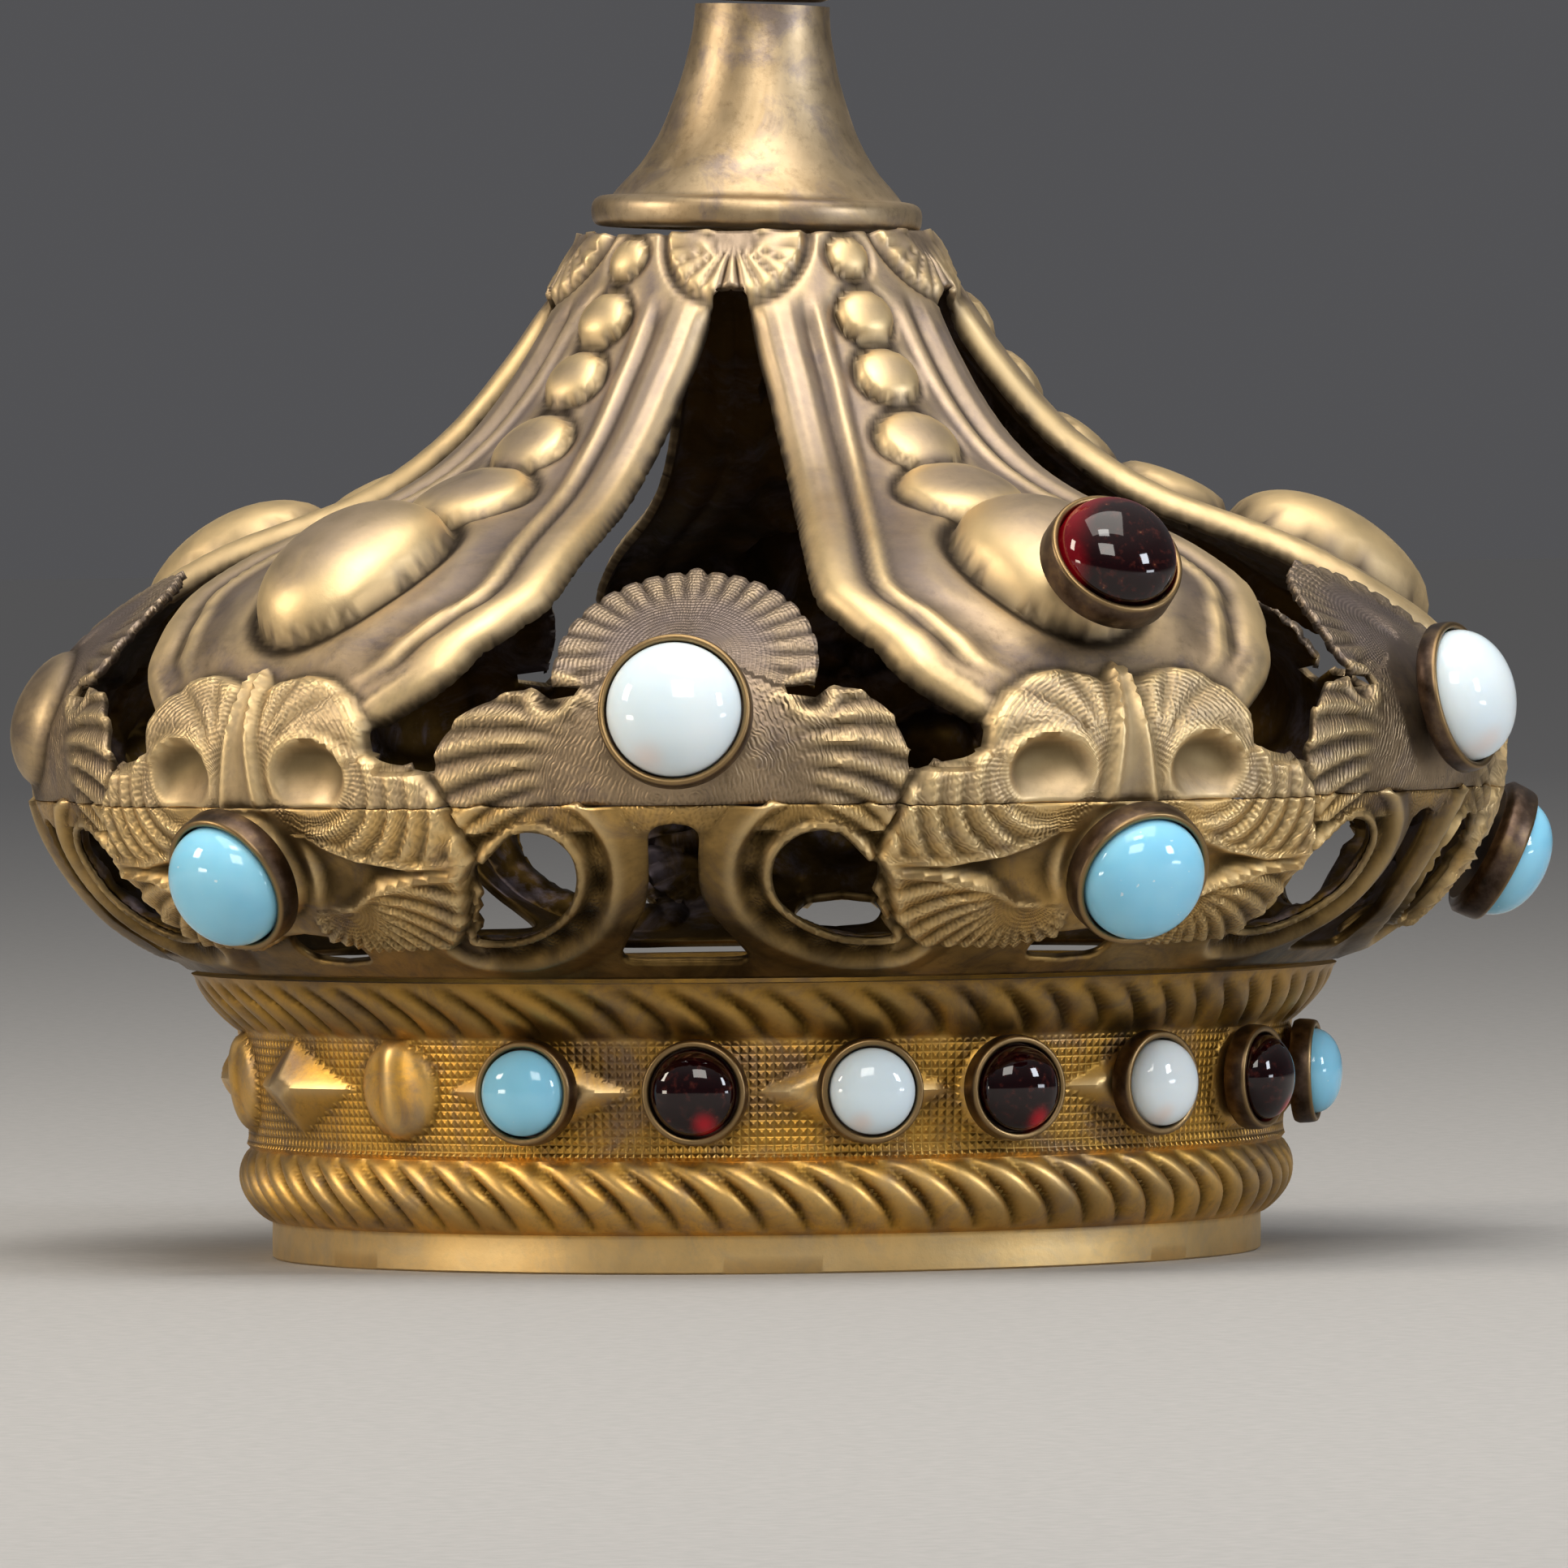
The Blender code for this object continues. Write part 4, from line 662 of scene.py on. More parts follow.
def leaf_relief(degrees, v):
    """The leaf over the arch's foot: spear, fan, hollow eyes, side leaves and boss."""
    w = from_arch(degrees)
    x = w * DEGREE
    edge = flat(MASK_EDGE)
    from_edge, _ = distance(x, v, edge)
    within = inside(x, v, edge)
    from_boss = np.hypot(x, v - MASK_BOSS)
    from_eye, angle, eye = leaf_eye(x, v)
    clear = within * eased(from_boss, MASK_BOSS_FOOT - 0.1, MASK_BOSS_FOOT + 0.5)
    past_eye = eased(from_eye, 2.1, 2.9)
    half = 0.4 + 1.25 * np.clip((22.1 - v) / 8.6, 0.0, 1.1) ** 1.3
    sections, crest = leaf_sections(x, v, w, from_eye, angle, half)
    detail = np.zeros(len(x))
    hatch = np.zeros((len(x), 3))
    for here, rib, first, second, strength in sections:
        detail = np.where(here, rib, detail)
        hatch[here] = np.c_[first, second, np.full(len(x), strength)][here]
    spear_share = np.abs(x) / half
    hatch[:, 2] *= clear * past_eye * eased(from_edge, 0.2, 0.5) * eased(spear_share, 1.2, 1.6)
    spear = 0.6 * through(spear_share, SPEAR) * eased(22.3 - v, 0.0, 0.8)
    spear *= eased(v, SEAM - 1.6, SEAM + 0.6) * eased(from_boss, 3.4, 4.2) * within
    plate = np.where(within, 0.55 * np.minimum(1.0, from_edge / 0.55) ** 0.6, 0.0)
    height = plate + (detail * past_eye + crest) * clear * eased(from_edge, 0.0, 0.3) + spear + eye
    boss = leaf_boss(degrees, from_boss)
    return np.where(from_boss < MASK_BOSS_FOOT, np.maximum(height, boss), height), hatch


def palmette_relief(degrees, v):
    """The palmette: fluted shell, notch curls, ribbed side lobes and boss."""
    q = (HALF - from_arch(degrees)) * DEGREE
    out = np.hypot(q, v - LOBE_MIDDLE)
    turn = np.degrees(np.arctan2(v - LOBE_MIDDLE, np.maximum(q, 1e-6)))
    stone = near_stone(degrees, OPAL_PLACES)
    rise = np.where(stone, 0.0, 1.7)
    from_boss = np.hypot(q, v - PALMETTE_BOSS)
    boss = rise * np.sqrt(np.maximum(0.0, 1.0 - (from_boss / BARE_BOSS_RADIUS) ** 2))
    dish = 0.25 * swell(np.maximum(0.0, from_boss - 4.0), 4.5)
    pitch = (90.0 - LOBE_END) / FLUTES
    near_edge = eased(out, 4.6, 7.4)
    valley = (90.0 - turn) / pitch + 0.5
    aside = np.abs(valley - np.round(valley)) * np.radians(pitch) * out
    flute = -0.2 * swell(aside, 0.38) * eased(out, 4.2, 6.2) + 0.1 * near_edge
    shell = (v > 20.6) & (turn > LOBE_END - 4.0)

    fan_turn = np.degrees(np.arctan2(v - LOBE_ROOT[1], q - LOBE_ROOT[0]))
    fan_out = np.hypot(q - LOBE_ROOT[0], v - LOBE_ROOT[1])
    bend = fan_turn + 2.4 * (fan_out - 5.0)
    lobe = (v < 21.0) & (v > 11.0)
    side = 0.45 * steps(bend / 9.0) * eased(fan_out, 5.6, 8.6) * eased(from_boss, BARE_BOSS_RADIUS, 5.4)
    notch = np.hypot(q - CURL_MIDDLE[0], v - CURL_MIDDLE[1])
    curl = 0.35 * swell(notch - 1.3, 0.65) - 0.55 * swell(notch, 0.9)
    detail = np.where(shell, flute * eased(notch, 1.0, 2.0), 0.0)
    detail = np.where(lobe, side * eased(notch, 1.3, 2.2) * eased(20.9 - v, 0.0, 0.7), detail)
    height = np.maximum(boss, dish) + detail + curl
    hatch = np.zeros((len(q), 3))
    hatch[:, 0] = np.where(shell, out, 0.8 * q + 0.3 * v)
    hatch[:, 1] = np.where(shell, turn * 0.1, fan_out)
    hatch[:, 2] = eased(from_boss, BARE_BOSS_RADIUS, 4.6) * 0.75
    return height, hatch


def scroll_relief(degrees, v):
    """The bowl's C-scrolls: turned rim, hatched groove, ridge and outer slope round each eye."""
    x = from_arch(degrees) * DEGREE
    d, along = distance(x, v, EYE_LOOP)
    groove = swell(d - 1.35, 0.75)
    height = through(d, SCROLL) + 0.16 * groove * np.sin(along * 2.0 * np.pi / 2.3)
    hatch = np.zeros((len(x), 3))
    hatch[:, 0] = along + 0.4 * d
    hatch[:, 1] = d
    hatch[:, 2] = groove
    return height, hatch


def crease_at(v):
    """Degrees from the arch's middle where the leaf ends and the palmette's scroll starts."""
    return through(v, CREASE)


def relief(degrees, v):
    """Millimetres off the plain sheet, and the hatching's coordinates and strength."""
    w = from_arch(degrees)
    arch, arch_hatch = arch_relief(degrees, v)
    leaf, leaf_hatch = leaf_relief(degrees, v)
    palm, palm_hatch = palmette_relief(degrees, v)
    scroll, scroll_hatch = scroll_relief(degrees, v)
    high = v > CONTACT[1]
    on_palm = high & beside_arch(w, v)
    on_arch = high & ~on_palm
    on_leaf = (on_arch & inside(w * DEGREE, v, flat(MASK_EDGE))) | (~high & (w < crease_at(v)))
    on_scroll = ~high & ~on_leaf
    palm_low = on_scroll & ((v > SEAM) | ((v > SEAM - 1.6) & (palm > scroll)))
    foot = on_leaf & ~high & (v < 5.0) & (w >= 5.0) & (scroll > leaf)
    height = np.where(on_arch, arch, 0.0)
    hatch = arch_hatch.copy()
    for here, part, lines in ((on_leaf, leaf, leaf_hatch), (on_scroll, scroll, scroll_hatch),
                              (palm_low, palm, palm_hatch), (foot, scroll, scroll_hatch),
                              (on_palm, palm, palm_hatch)):
        height = np.where(here, part, height)
        hatch[here] = lines[here]
    return height, hatch


# Making meshes

SHEET_WOBBLE = 0.14 * MM
BAND_WOBBLE = 0.07 * MM
CUT_STEP = 0.28
ROW_SHARE = 0.866


def finish_piece(name, shape, material, nodes, smooth_angle):
    """Makes an object of a bmesh, smooth but for its sharp edges, in place of its CAD nodes."""
    mesh = bpy.data.meshes.new(name)
    shape.to_mesh(mesh)
    shape.free()
    mesh.materials.append(material)
    mesh.shade_smooth()
    mesh.set_sharp_from_angle(angle=math.radians(smooth_angle))
    piece = bpy.data.objects.new(name, mesh)
    bpy.context.scene.collection.objects.link(piece)
    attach(piece, "root")
    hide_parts(*nodes)
    return piece


def mesh_arrays(mesh):
    """A mesh's points and its edges as arrays."""
    points = np.zeros(len(mesh.vertices) * 3)
    mesh.vertices.foreach_get("co", points)
    edges = np.zeros(len(mesh.edges) * 2, int)
    mesh.edges.foreach_get("vertices", edges)
    return points.reshape(-1, 3), edges.reshape(-1, 2)


def averaged(values, edges, rounds):
    """Values smoothed over a mesh's edges."""
    count = len(values)
    links = np.bincount(edges.ravel(), minlength=count)
    for _ in range(rounds):
        total = np.bincount(edges[:, 0], values[edges[:, 1]], count)
        total += np.bincount(edges[:, 1], values[edges[:, 0]], count)
        values = 0.5 * values + 0.5 * total / np.maximum(links, 1)
    return values


def read_attribute(mesh, name):
    """One value for each point of a mesh."""
    values = np.zeros(len(mesh.vertices))
    mesh.attributes[name].data.foreach_get("value", values)
    return values


def set_attribute(mesh, name, values):
    """Writes one value, or three, for each point of a mesh."""
    kind = "FLOAT_VECTOR" if values.ndim == 2 else "FLOAT"
    layer = mesh.attributes.new(name, kind, "POINT")
    layer.data.foreach_set("vector" if values.ndim == 2 else "value", values.astype(np.float32).ravel())


def beside_arch(w, v):
    """Which points lie on a palmette's plate, clear of the arch."""
    return (w > arch_edge_at(v) + PALMETTE_MARGIN) & (v < PALMETTE_TOP)


def painted_shade_at(degrees, v):
    """How much shade is painted on the sheet: most under the bowl, between the scrolls and on the palmettes.
    """
    w = from_arch(degrees)
    past_leaf = eased(w, crease_at(v) - 1.0, crease_at(v) + 3.0)
    under = eased(9.5 - v, 0.0, 7.0)
    scrolls = past_leaf * eased(15.0 - v, 0.0, 4.0)
    palmette = past_leaf * (v > SEAM) * beside_arch(w, v)
    return np.clip(0.5 * under + 0.55 * scrolls + 0.3 * palmette, 0.0, 0.85)


def carve_marks(mesh, height, depth, rounds, rubbed_and_highlight):
    """Marks the mesh's hollows, for dirt and painted shade, and its crests, for rubbed gilding and painted
    highlights.
    """
    _, edges = mesh_arrays(mesh)
    fine = averaged(height, edges, rounds)
    broad = averaged(height, edges, 5 * rounds)
    hollow = np.maximum((fine - height) / depth, 0.7 * (broad - height) / (2.2 * depth))
    crest = np.maximum((height - fine) / depth, rubbed_and_highlight)
    set_attribute(mesh, "hollow", averaged(np.clip(hollow, 0.0, 0.92), edges, 1))
    set_attribute(mesh, "crest", averaged(np.clip(crest, 0.0, 1.0), edges, 1))


EYE_LOOP = curve(SCROLL_EYE, 0.4)
EYE_LOOP = np.concatenate([EYE_LOOP, curve(SCROLL_EYE_BACK, 0.4)[1:]])


def lobe_outline():
    """The palmette's fluted upper edge, from its peak to its notch."""
    turns = np.radians(np.linspace(90.0, LOBE_END, FLUTES * 10 + 1))
    share = np.linspace(0.0, 1.0, len(turns))
    radius = LOBE_RADIUS + 0.6 * share - 0.08 * (1.0 - np.abs(np.cos(np.pi * share * FLUTES))) ** 0.8
    radius += 0.45 * np.exp(-(share / 0.04) ** 2)
    return np.c_[HALF * DEGREE - radius * np.cos(turns), LOBE_MIDDLE + radius * np.sin(turns)]


def scattered(outline, openings, spacing, holds):
    """Points of a triangular grid where a zone holds, clear of the outline and the openings."""
    low, high = outline.min(axis=0), outline.max(axis=0)
    rows = int((high[1] - low[1]) / (spacing * ROW_SHARE)) + 1
    columns = int((high[0] - low[0]) / spacing) + 1
    row, column = np.mgrid[0:rows, 0:columns]
    x = low[0] + spacing * (column + 0.5 * (row % 2)).ravel()
    v = low[1] + spacing * ROW_SHARE * row.ravel()
    kept = inside(x, v, outline) & holds(x, v)
    for hole in openings:
        kept &= ~inside(x, v, hole)
    x, v = x[kept], v[kept]
    clear = np.full(len(x), 1e9)
    for loop in [outline] + openings:
        clear = np.minimum(clear, distance(x, v, np.concatenate([loop, loop[:1]]))[0])
    return np.c_[x, v][clear > 0.5 * spacing]


def pattern_mesh(outline, openings, zones):
    """The flat pattern cut into small triangles that keep to its outline and openings.

    Each zone is a spacing of points and a test of where it holds.
    """
    loops = [outline] + openings
    points = [Vector(p) for loop in loops for p in loop]
    edges = []
    start = 0
    for loop in loops:
        edges += [(start + i, start + (i + 1) % len(loop)) for i in range(len(loop))]
        start += len(loop)
    for spacing, holds in zones:
        points += [Vector(p) for p in scattered(outline, openings, spacing, holds)]
    cut = delaunay_2d_cdt(points, edges, [], 0, 1e-5, True)
    places = np.array([(p.x, p.y) for p in cut[0]])
    faces = np.array([face for face in cut[2] if len(face) == 3])
    middle = places[faces].mean(axis=1)
    good = inside(middle[:, 0], middle[:, 1], outline)
    for hole in openings:
        good &= ~inside(middle[:, 0], middle[:, 1], hole)
    return places, faces[good]


def flat_stamping(outline, openings, fine, plain):
    """Half an arch's pattern, mirrored and repeated five times, still flat.

    The two arches at the front have the fine zones of points, and the three behind the plain ones.
    """
    whole = bmesh.new()
    for zones, arches in ((fine, (-1, 0)), (plain, (1, 2, 3))):
        places, faces = pattern_mesh(outline, openings, zones)
        shape = bmesh.new()
        points = [shape.verts.new((x, v, 0.0)) for x, v in places]
        for face in faces:
            shape.faces.new([points[i] for i in face])
        bmesh.ops.mirror(shape, geom=shape.verts[:] + shape.edges[:] + shape.faces[:],
                         matrix=Matrix.Identity(4), merge_dist=0.001, axis="X")
        mesh = bpy.data.meshes.new("pattern")
        bmesh.ops.translate(shape, verts=shape.verts, vec=(arches[0] * SECTOR * DEGREE, 0.0, 0.0))
        for _ in arches:
            shape.to_mesh(mesh)
            whole.from_mesh(mesh)
            bmesh.ops.translate(shape, verts=shape.verts, vec=(SECTOR * DEGREE, 0.0, 0.0))
        bpy.data.meshes.remove(mesh)
        shape.free()
    bmesh.ops.remove_doubles(whole, verts=whole.verts, dist=0.001)
    return whole


def sheet_piece(name, whole, materials, nodes):
    """A stamping: the flat pattern bent round the crown, pressed and given its thickness."""
    bearing = whole.verts.layers.float.new("bearing")
    rise = whole.verts.layers.float.new("rise")
    places = np.array([(p.co.x / DEGREE, p.co.y) for p in whole.verts])
    height, _ = relief(places[:, 0], places[:, 1])
    spots = bent(places[:, 0], places[:, 1], height * MM)
    for point, (degrees, v), spot in zip(whole.verts, places, spots):
        point[bearing] = degrees
        point[rise] = v
        wobble = noise.noise(Vector(spot) * 110.0) * SHEET_WOBBLE
        away = Vector((spot[0] - AXIS.x, spot[1] - AXIS.y, 0.0)).normalized()
        point.co = Vector(spot) + away * wobble
    bmesh.ops.remove_doubles(whole, verts=whole.verts, dist=0.002 * MM)
    bmesh.ops.recalc_face_normals(whole, faces=whole.faces)
    probe = max(whole.faces, key=lambda face: face.calc_center_median().y)
    if probe.normal.y < 0.0:
        bmesh.ops.reverse_faces(whole, faces=whole.faces)
    piece = finish_piece(name, whole, materials[0], nodes, 65.0)
    mesh = piece.data
    mesh.materials.append(materials[1])
    degrees, v = read_attribute(mesh, "bearing"), read_attribute(mesh, "rise")
    height, hatch = relief(degrees, v)
    on_leaf = inside(from_arch(degrees) * DEGREE, v, flat(MASK_EDGE))
    # The upper leaf's crests get an extra painted highlight
    carve_marks(mesh, height, 0.13, 8, 0.35 * on_leaf * eased(v, 9.0, 16.0))
    set_attribute(mesh, "hatch", hatch)
    set_attribute(mesh, "tint", tarnish_at(degrees, v))
    # Painted shade under the bowl, between the scrolls and on the palmettes
    set_attribute(mesh, "painted_shade", painted_shade_at(degrees, v))
    thick = piece.modifiers.new("sheet", "SOLIDIFY")
    thick.thickness = SHEET
    thick.offset = -1.0
    thick.material_offset = 1


def tarnish_at(degrees, v):
    """How grey the gilding has gone: most on the arches and the palmettes' tops."""
    arches = 0.75 * eased(v, 22.0, 30.0) * (1.0 - 0.45 * eased(v, 52.0, 60.0))
    shell = eased(v, 18.0, 24.0) * beside_arch(from_arch(degrees), v)
    return np.maximum(arches, 1.1 * shell)


def build_arches(materials):
    """The upper stamping: palmettes, upper leaves, arches and ring."""
    low = SEAM + SEAM_HALF_GAP
    ragged = curve(ARCH_EDGE, CUT_STEP)
    for i, (_, v) in enumerate(ragged[1:-1], 1):
        ragged[i, 0] += 0.06 * noise.noise(Vector((v * 1.3, 3.0, 0.0)))
        ragged[i, 0] += 0.12 * noise.noise(Vector((v * 4.0, 9.0, 0.0)))
    outline = joined(
        curve([(0.0, low), (HALF, low)], CUT_STEP),
        smooth_curve([(HALF * DEGREE, low), tuple(lobe_outline()[0])], CUT_STEP),
        lobe_outline(),
        flat(NOTCH),
        curve(SIDE_LOBE, CUT_STEP),
        curve(MASK_LOBE, CUT_STEP),
        curve(MASK_CORNER, CUT_STEP),
        ragged,
        curve(GAP_TOP, CUT_STEP),
        curve([(HALF, GAP_TOP[-1][1]), (HALF, PATTERN_TOP)], 0.5),
        curve([(HALF, PATTERN_TOP), (0.0, PATTERN_TOP)], 1.0),
        curve([(0.0, PATTERN_TOP), (0.0, low)], 0.4),
    )

    def on_arch(x, v):
        return (x / DEGREE < arch_edge_at(v)) & (v > ARCH_FOOT)

    def on_leaves(x, v):
        return ~on_arch(x, v)

    fine = [(0.29, on_leaves), (0.47, on_arch)]
    plain = [(0.56, on_leaves), (0.84, on_arch)]
    sheet_piece("stamped_arches", flat_stamping(outline, [], fine, plain), materials, ["crown_arches"])


def build_gallery(materials):
    """The lower stamping: the bowl of C-scrolls and the leaves' lower halves."""
    high = SEAM - SEAM_HALF_GAP
    outline = joined(
        curve([(0.0, 0.0), (HALF, 0.0)], 0.4),
        curve([(HALF, 0.0), (HALF, STEM_OPENING[-1][1])], CUT_STEP),
        curve(STEM_OPENING[::-1], CUT_STEP),
        curve([STEM_OPENING[0], (HALF, high)], CUT_STEP),
        curve([(HALF, high), (0.0, high)], CUT_STEP),
        curve([(0.0, high), FOOT_OPENING[0]], CUT_STEP),
        curve(FOOT_OPENING, CUT_STEP),
        curve([FOOT_OPENING[-1], (0.0, 0.0)], CUT_STEP),
    )
    eye = joined(curve(SCROLL_EYE, CUT_STEP), curve(SCROLL_EYE_BACK, CUT_STEP))

    def everywhere(x, v):
        return np.ones(len(x), bool)

    whole = flat_stamping(outline, [eye], [(0.25, everywhere)], [(0.4, everywhere)])
    sheet_piece("stamped_gallery", whole, materials, ["gallery"])


# The circlet

COLUMNS = ROPE_STRANDS * 12
LOWER_ROPE_ROWS = 18
FIELD_ROWS = 26
UPPER_ROPE_ROWS = 14


def circlet_profile():
    """Height, radius and share of rope depth for each row of the band's outer face, bottom up."""
    rows = [(0.0, SKIRT_RADIUS - 0.15 * MM, 0.0), (0.12 * MM, SKIRT_RADIUS, 0.0),
            (1.1 * MM, SKIRT_RADIUS + 0.02 * MM, 0.0), (SKIRT_HEIGHT - 0.3 * MM, SKIRT_RADIUS, 0.0),
            (SKIRT_HEIGHT - 0.05 * MM, SKIRT_RADIUS + 0.05 * MM, 0.0)]
    start = SKIRT_RADIUS + 0.3 * MM
    for i in range(LOWER_ROPE_ROWS + 1):
        t = i / LOWER_ROPE_ROWS
        plain = start + (FIELD_RADIUS - start) * t
        bulge = math.sin(math.pi * t) ** 0.75
        rows.append((SKIRT_HEIGHT + LOWER_ROPE_HEIGHT * 0.93 * t, plain + 1.15 * MM * bulge, bulge))
    for i in range(1, FIELD_ROWS + 1):
        t = i / FIELD_ROWS
        low = SKIRT_HEIGHT + LOWER_ROPE_HEIGHT * 0.93
        height = low + (FIELD_TOP - low) * t
        fillet = 0.25 * MM * math.exp(-(((height - low) / (0.5 * MM)) ** 2))
        rows.append((height, FIELD_RADIUS + FIELD_FLARE * t + fillet, 0.0))
    rim_start = FIELD_RADIUS + FIELD_FLARE
    for i in range(1, UPPER_ROPE_ROWS + 1):
        t = i / UPPER_ROPE_ROWS
        bulge = math.sin(math.pi * min(t * 1.08, 1.0)) ** 0.75
        plain = rim_start + (RIM_RADIUS - rim_start) * t
        rows.append((FIELD_TOP + UPPER_ROPE_HEIGHT * t, plain + 0.4 * MM * bulge, bulge))
    return np.array(rows)


def motif_height(degrees, height):
    """The field's low pyramids and domes, in metres off the band."""
    total = np.zeros(len(degrees))
    up = (height - FIELD_MIDDLE) / MM
    slipped = [pair * HALF - (BAND_SLIP if pair in SLIPPED_PAIRS else 0.0) for pair in range(2 * ARCHES)]
    after = slipped[1:] + [slipped[0] + 360.0]
    motifs = [(bearing, True) for bearing in slipped]
    motifs += [(0.5 * (first + last), False) for first, last in zip(slipped, after)]
    for bearing, round_motif in motifs:
        signed = (bearing + 180.0) % 360.0 - 180.0
        stone = any(abs(signed - at) < 3.0 for at, _ in BAND_STONES)
        aside = np.radians((degrees - bearing + 180.0) % 360.0 - 180.0) * FIELD_RADIUS / MM
        if round_motif:
            d = np.hypot(aside, up) / 2.9
            keel = 0.35 * swell(aside, 1.1)
            shape = (0.55 if stone else 0.85 + keel) * np.sqrt(np.maximum(0.0, 1.0 - d**2.4))
        else:
            d = np.abs(aside) / 6.0 + np.abs(up) / 2.9
            shape = np.minimum(1.9 * np.maximum(0.0, 1.0 - d), 0.72 if stone else 1.5)
        total = np.maximum(total, shape)
    return total * MM


def close_inside(shape, hatch_layer):
    """Gives the band its plain inner face, from the shelf at the top down to the foot."""
    borders = [edge for edge in shape.edges if edge.is_boundary]
    top = [edge for edge in borders if edge.verts[0].co.z > CIRCLET_HEIGHT - MM]
    bottom = [edge for edge in borders if edge.verts[0].co.z < MM]
    inner = [
        (top, [(RIM_RADIUS - SHELF_WIDTH, CIRCLET_HEIGHT),
               (FIELD_RADIUS + FIELD_FLARE - CIRCLET_WALL, FIELD_TOP),
               (FIELD_RADIUS - CIRCLET_WALL, FIELD_BOTTOM)]),
        (bottom, [(SKIRT_RADIUS - CIRCLET_WALL, 0.0)]),
    ]
    ends = []
    for loop, stops in inner:
        for reach, height in stops:
            grown = bmesh.ops.extrude_edge_only(shape, edges=loop)["geom"]
            for point in grown:
                if isinstance(point, bmesh.types.BMVert):
                    away = Vector((point.co.x - AXIS.x, point.co.y - AXIS.y, 0.0)).normalized()
                    point.co = Vector((AXIS.x, AXIS.y, height)) + away * reach
                    point[hatch_layer] = (0.0, 0.0, 0.0)
            loop = [part for part in grown if isinstance(part, bmesh.types.BMEdge) and part.is_boundary]
        ends += loop
    bmesh.ops.bridge_loops(shape, edges=ends)
    bmesh.ops.recalc_face_normals(shape, faces=shape.faces)


def band_relief(degrees, height, rope):
    """Metres pressed off the band's section: the ropes' strands, the motifs and where the field is."""
    lower = height < FIELD_BOTTOM
    foot = np.where(lower, SKIRT_HEIGHT, FIELD_TOP)
    tall = np.where(lower, LOWER_ROPE_HEIGHT, UPPER_ROPE_HEIGHT)
    t = np.clip((height - foot) / tall, 0.0, 1.0)
    slant = np.where(lower, 1.65, 1.2) * (t - 0.28 * np.sin(np.pi * t) * 0.6)
    strand = ribs(degrees / 360.0 * ROPE_STRANDS + slant) ** 0.8
    lift = np.where(lower, 0.85, 0.75) * MM * (strand - 1.0) * rope
    field = (height > FIELD_BOTTOM - 0.3 * MM) & (height < FIELD_TOP)
    return lift, np.where(field, motif_height(degrees, height), 0.0), field


def build_circlet(material):
    """The band: a grid wrapped round into a tube, pressed into ropes, panels and motifs."""
    profile = circlet_profile()
    rows = len(profile)
    shape = bmesh.new()
    bmesh.ops.create_grid(shape, x_segments=COLUMNS, y_segments=rows - 1, size=0.5)
    places = np.array([point.co[:] for point in shape.verts])
    degrees = (places[:, 0] + 0.5) * 360.0
    row = (places[:, 1] + 0.5) * (rows - 1)
    height, radius, rope = (np.interp(row, range(rows), column) for column in profile.T)
    lift, motif, field = band_relief(degrees, height, rope)
    turn = np.radians(degrees)
    relief_layer = shape.verts.layers.float.new("pressed")
    hatch_layer = shape.verts.layers.float_vector.new("hatch")
    dots = np.where(field & (motif < 0.05 * MM), DOT_STRENGTH, 0.0)
    for i, point in enumerate(shape.verts):
        away = Vector((math.sin(turn[i]), -math.cos(turn[i]), 0.0))
        spot = AXIS + away * (radius[i] + lift[i] + motif[i]) + Vector((0.0, 0.0, height[i]))
        point.co = spot + away * (noise.noise(spot * 150.0) * BAND_WOBBLE)
        point[relief_layer] = (lift[i] + motif[i]) / MM
        point[hatch_layer] = (turn[i] * FIELD_RADIUS / MM, height[i] / MM, dots[i])
    bmesh.ops.remove_doubles(shape, verts=shape.verts, dist=0.002 * MM)
    close_inside(shape, hatch_layer)
    mesh = finish_piece("rope_edged_circlet", shape, material, ["circlet"], 50.0).data
    points, _ = mesh_arrays(mesh)
    on_skirt = eased(SKIRT_HEIGHT - points[:, 2], 0.0, 0.3 * MM)
    # The skirt gets a painted highlight along its whole height
    carve_marks(mesh, read_attribute(mesh, "pressed"), 0.25, 14, 0.75 * on_skirt)
    set_attribute(mesh, "tint", np.zeros(len(points)))
    # Painted shade over the band's upper rope, just below the bowl
    set_attribute(mesh, "painted_shade", 0.5 * eased(points[:, 2], FIELD_TOP - 0.4 * MM, FIELD_TOP + 0.4 * MM))


# Turned pieces

def turned_shape(outline, sides):
    """An outline of (radius, height) turned round Z."""
    shape = bmesh.new()
    points = [shape.verts.new((radius, 0.0, height)) for radius, height in outline]
    edges = [shape.edges.new(pair) for pair in zip(points, points[1:])]
    if outline[0][0] > 0.0 and outline[-1][0] > 0.0:
        edges.append(shape.edges.new((points[-1], points[0])))
    bmesh.ops.spin(shape, geom=points + edges, cent=(0, 0, 0), axis=(0, 0, 1), dvec=(0, 0, 0),
                   angle=2.0 * math.pi, steps=sides, use_merge=True)
    bmesh.ops.remove_doubles(shape, verts=shape.verts, dist=0.00001)
    bmesh.ops.recalc_face_normals(shape, faces=shape.faces)
    return shape


def outward(degrees, elevation):
    """The direction at a bearing and an angle above the horizontal."""
    turn, rise = math.radians(degrees), math.radians(elevation)
    return Vector((math.sin(turn) * math.cos(rise), -math.cos(turn) * math.cos(rise), math.sin(rise)))


def stood_on(shape, foot, axis):
    """Moves a shape made along Z so that it stands on a point, along an axis."""
    turn = axis.normalized().to_track_quat("Z", "Y").to_matrix().to_4x4()
    bmesh.ops.transform(shape, matrix=Matrix.Translation(foot) @ turn, verts=shape.verts)
    return shape


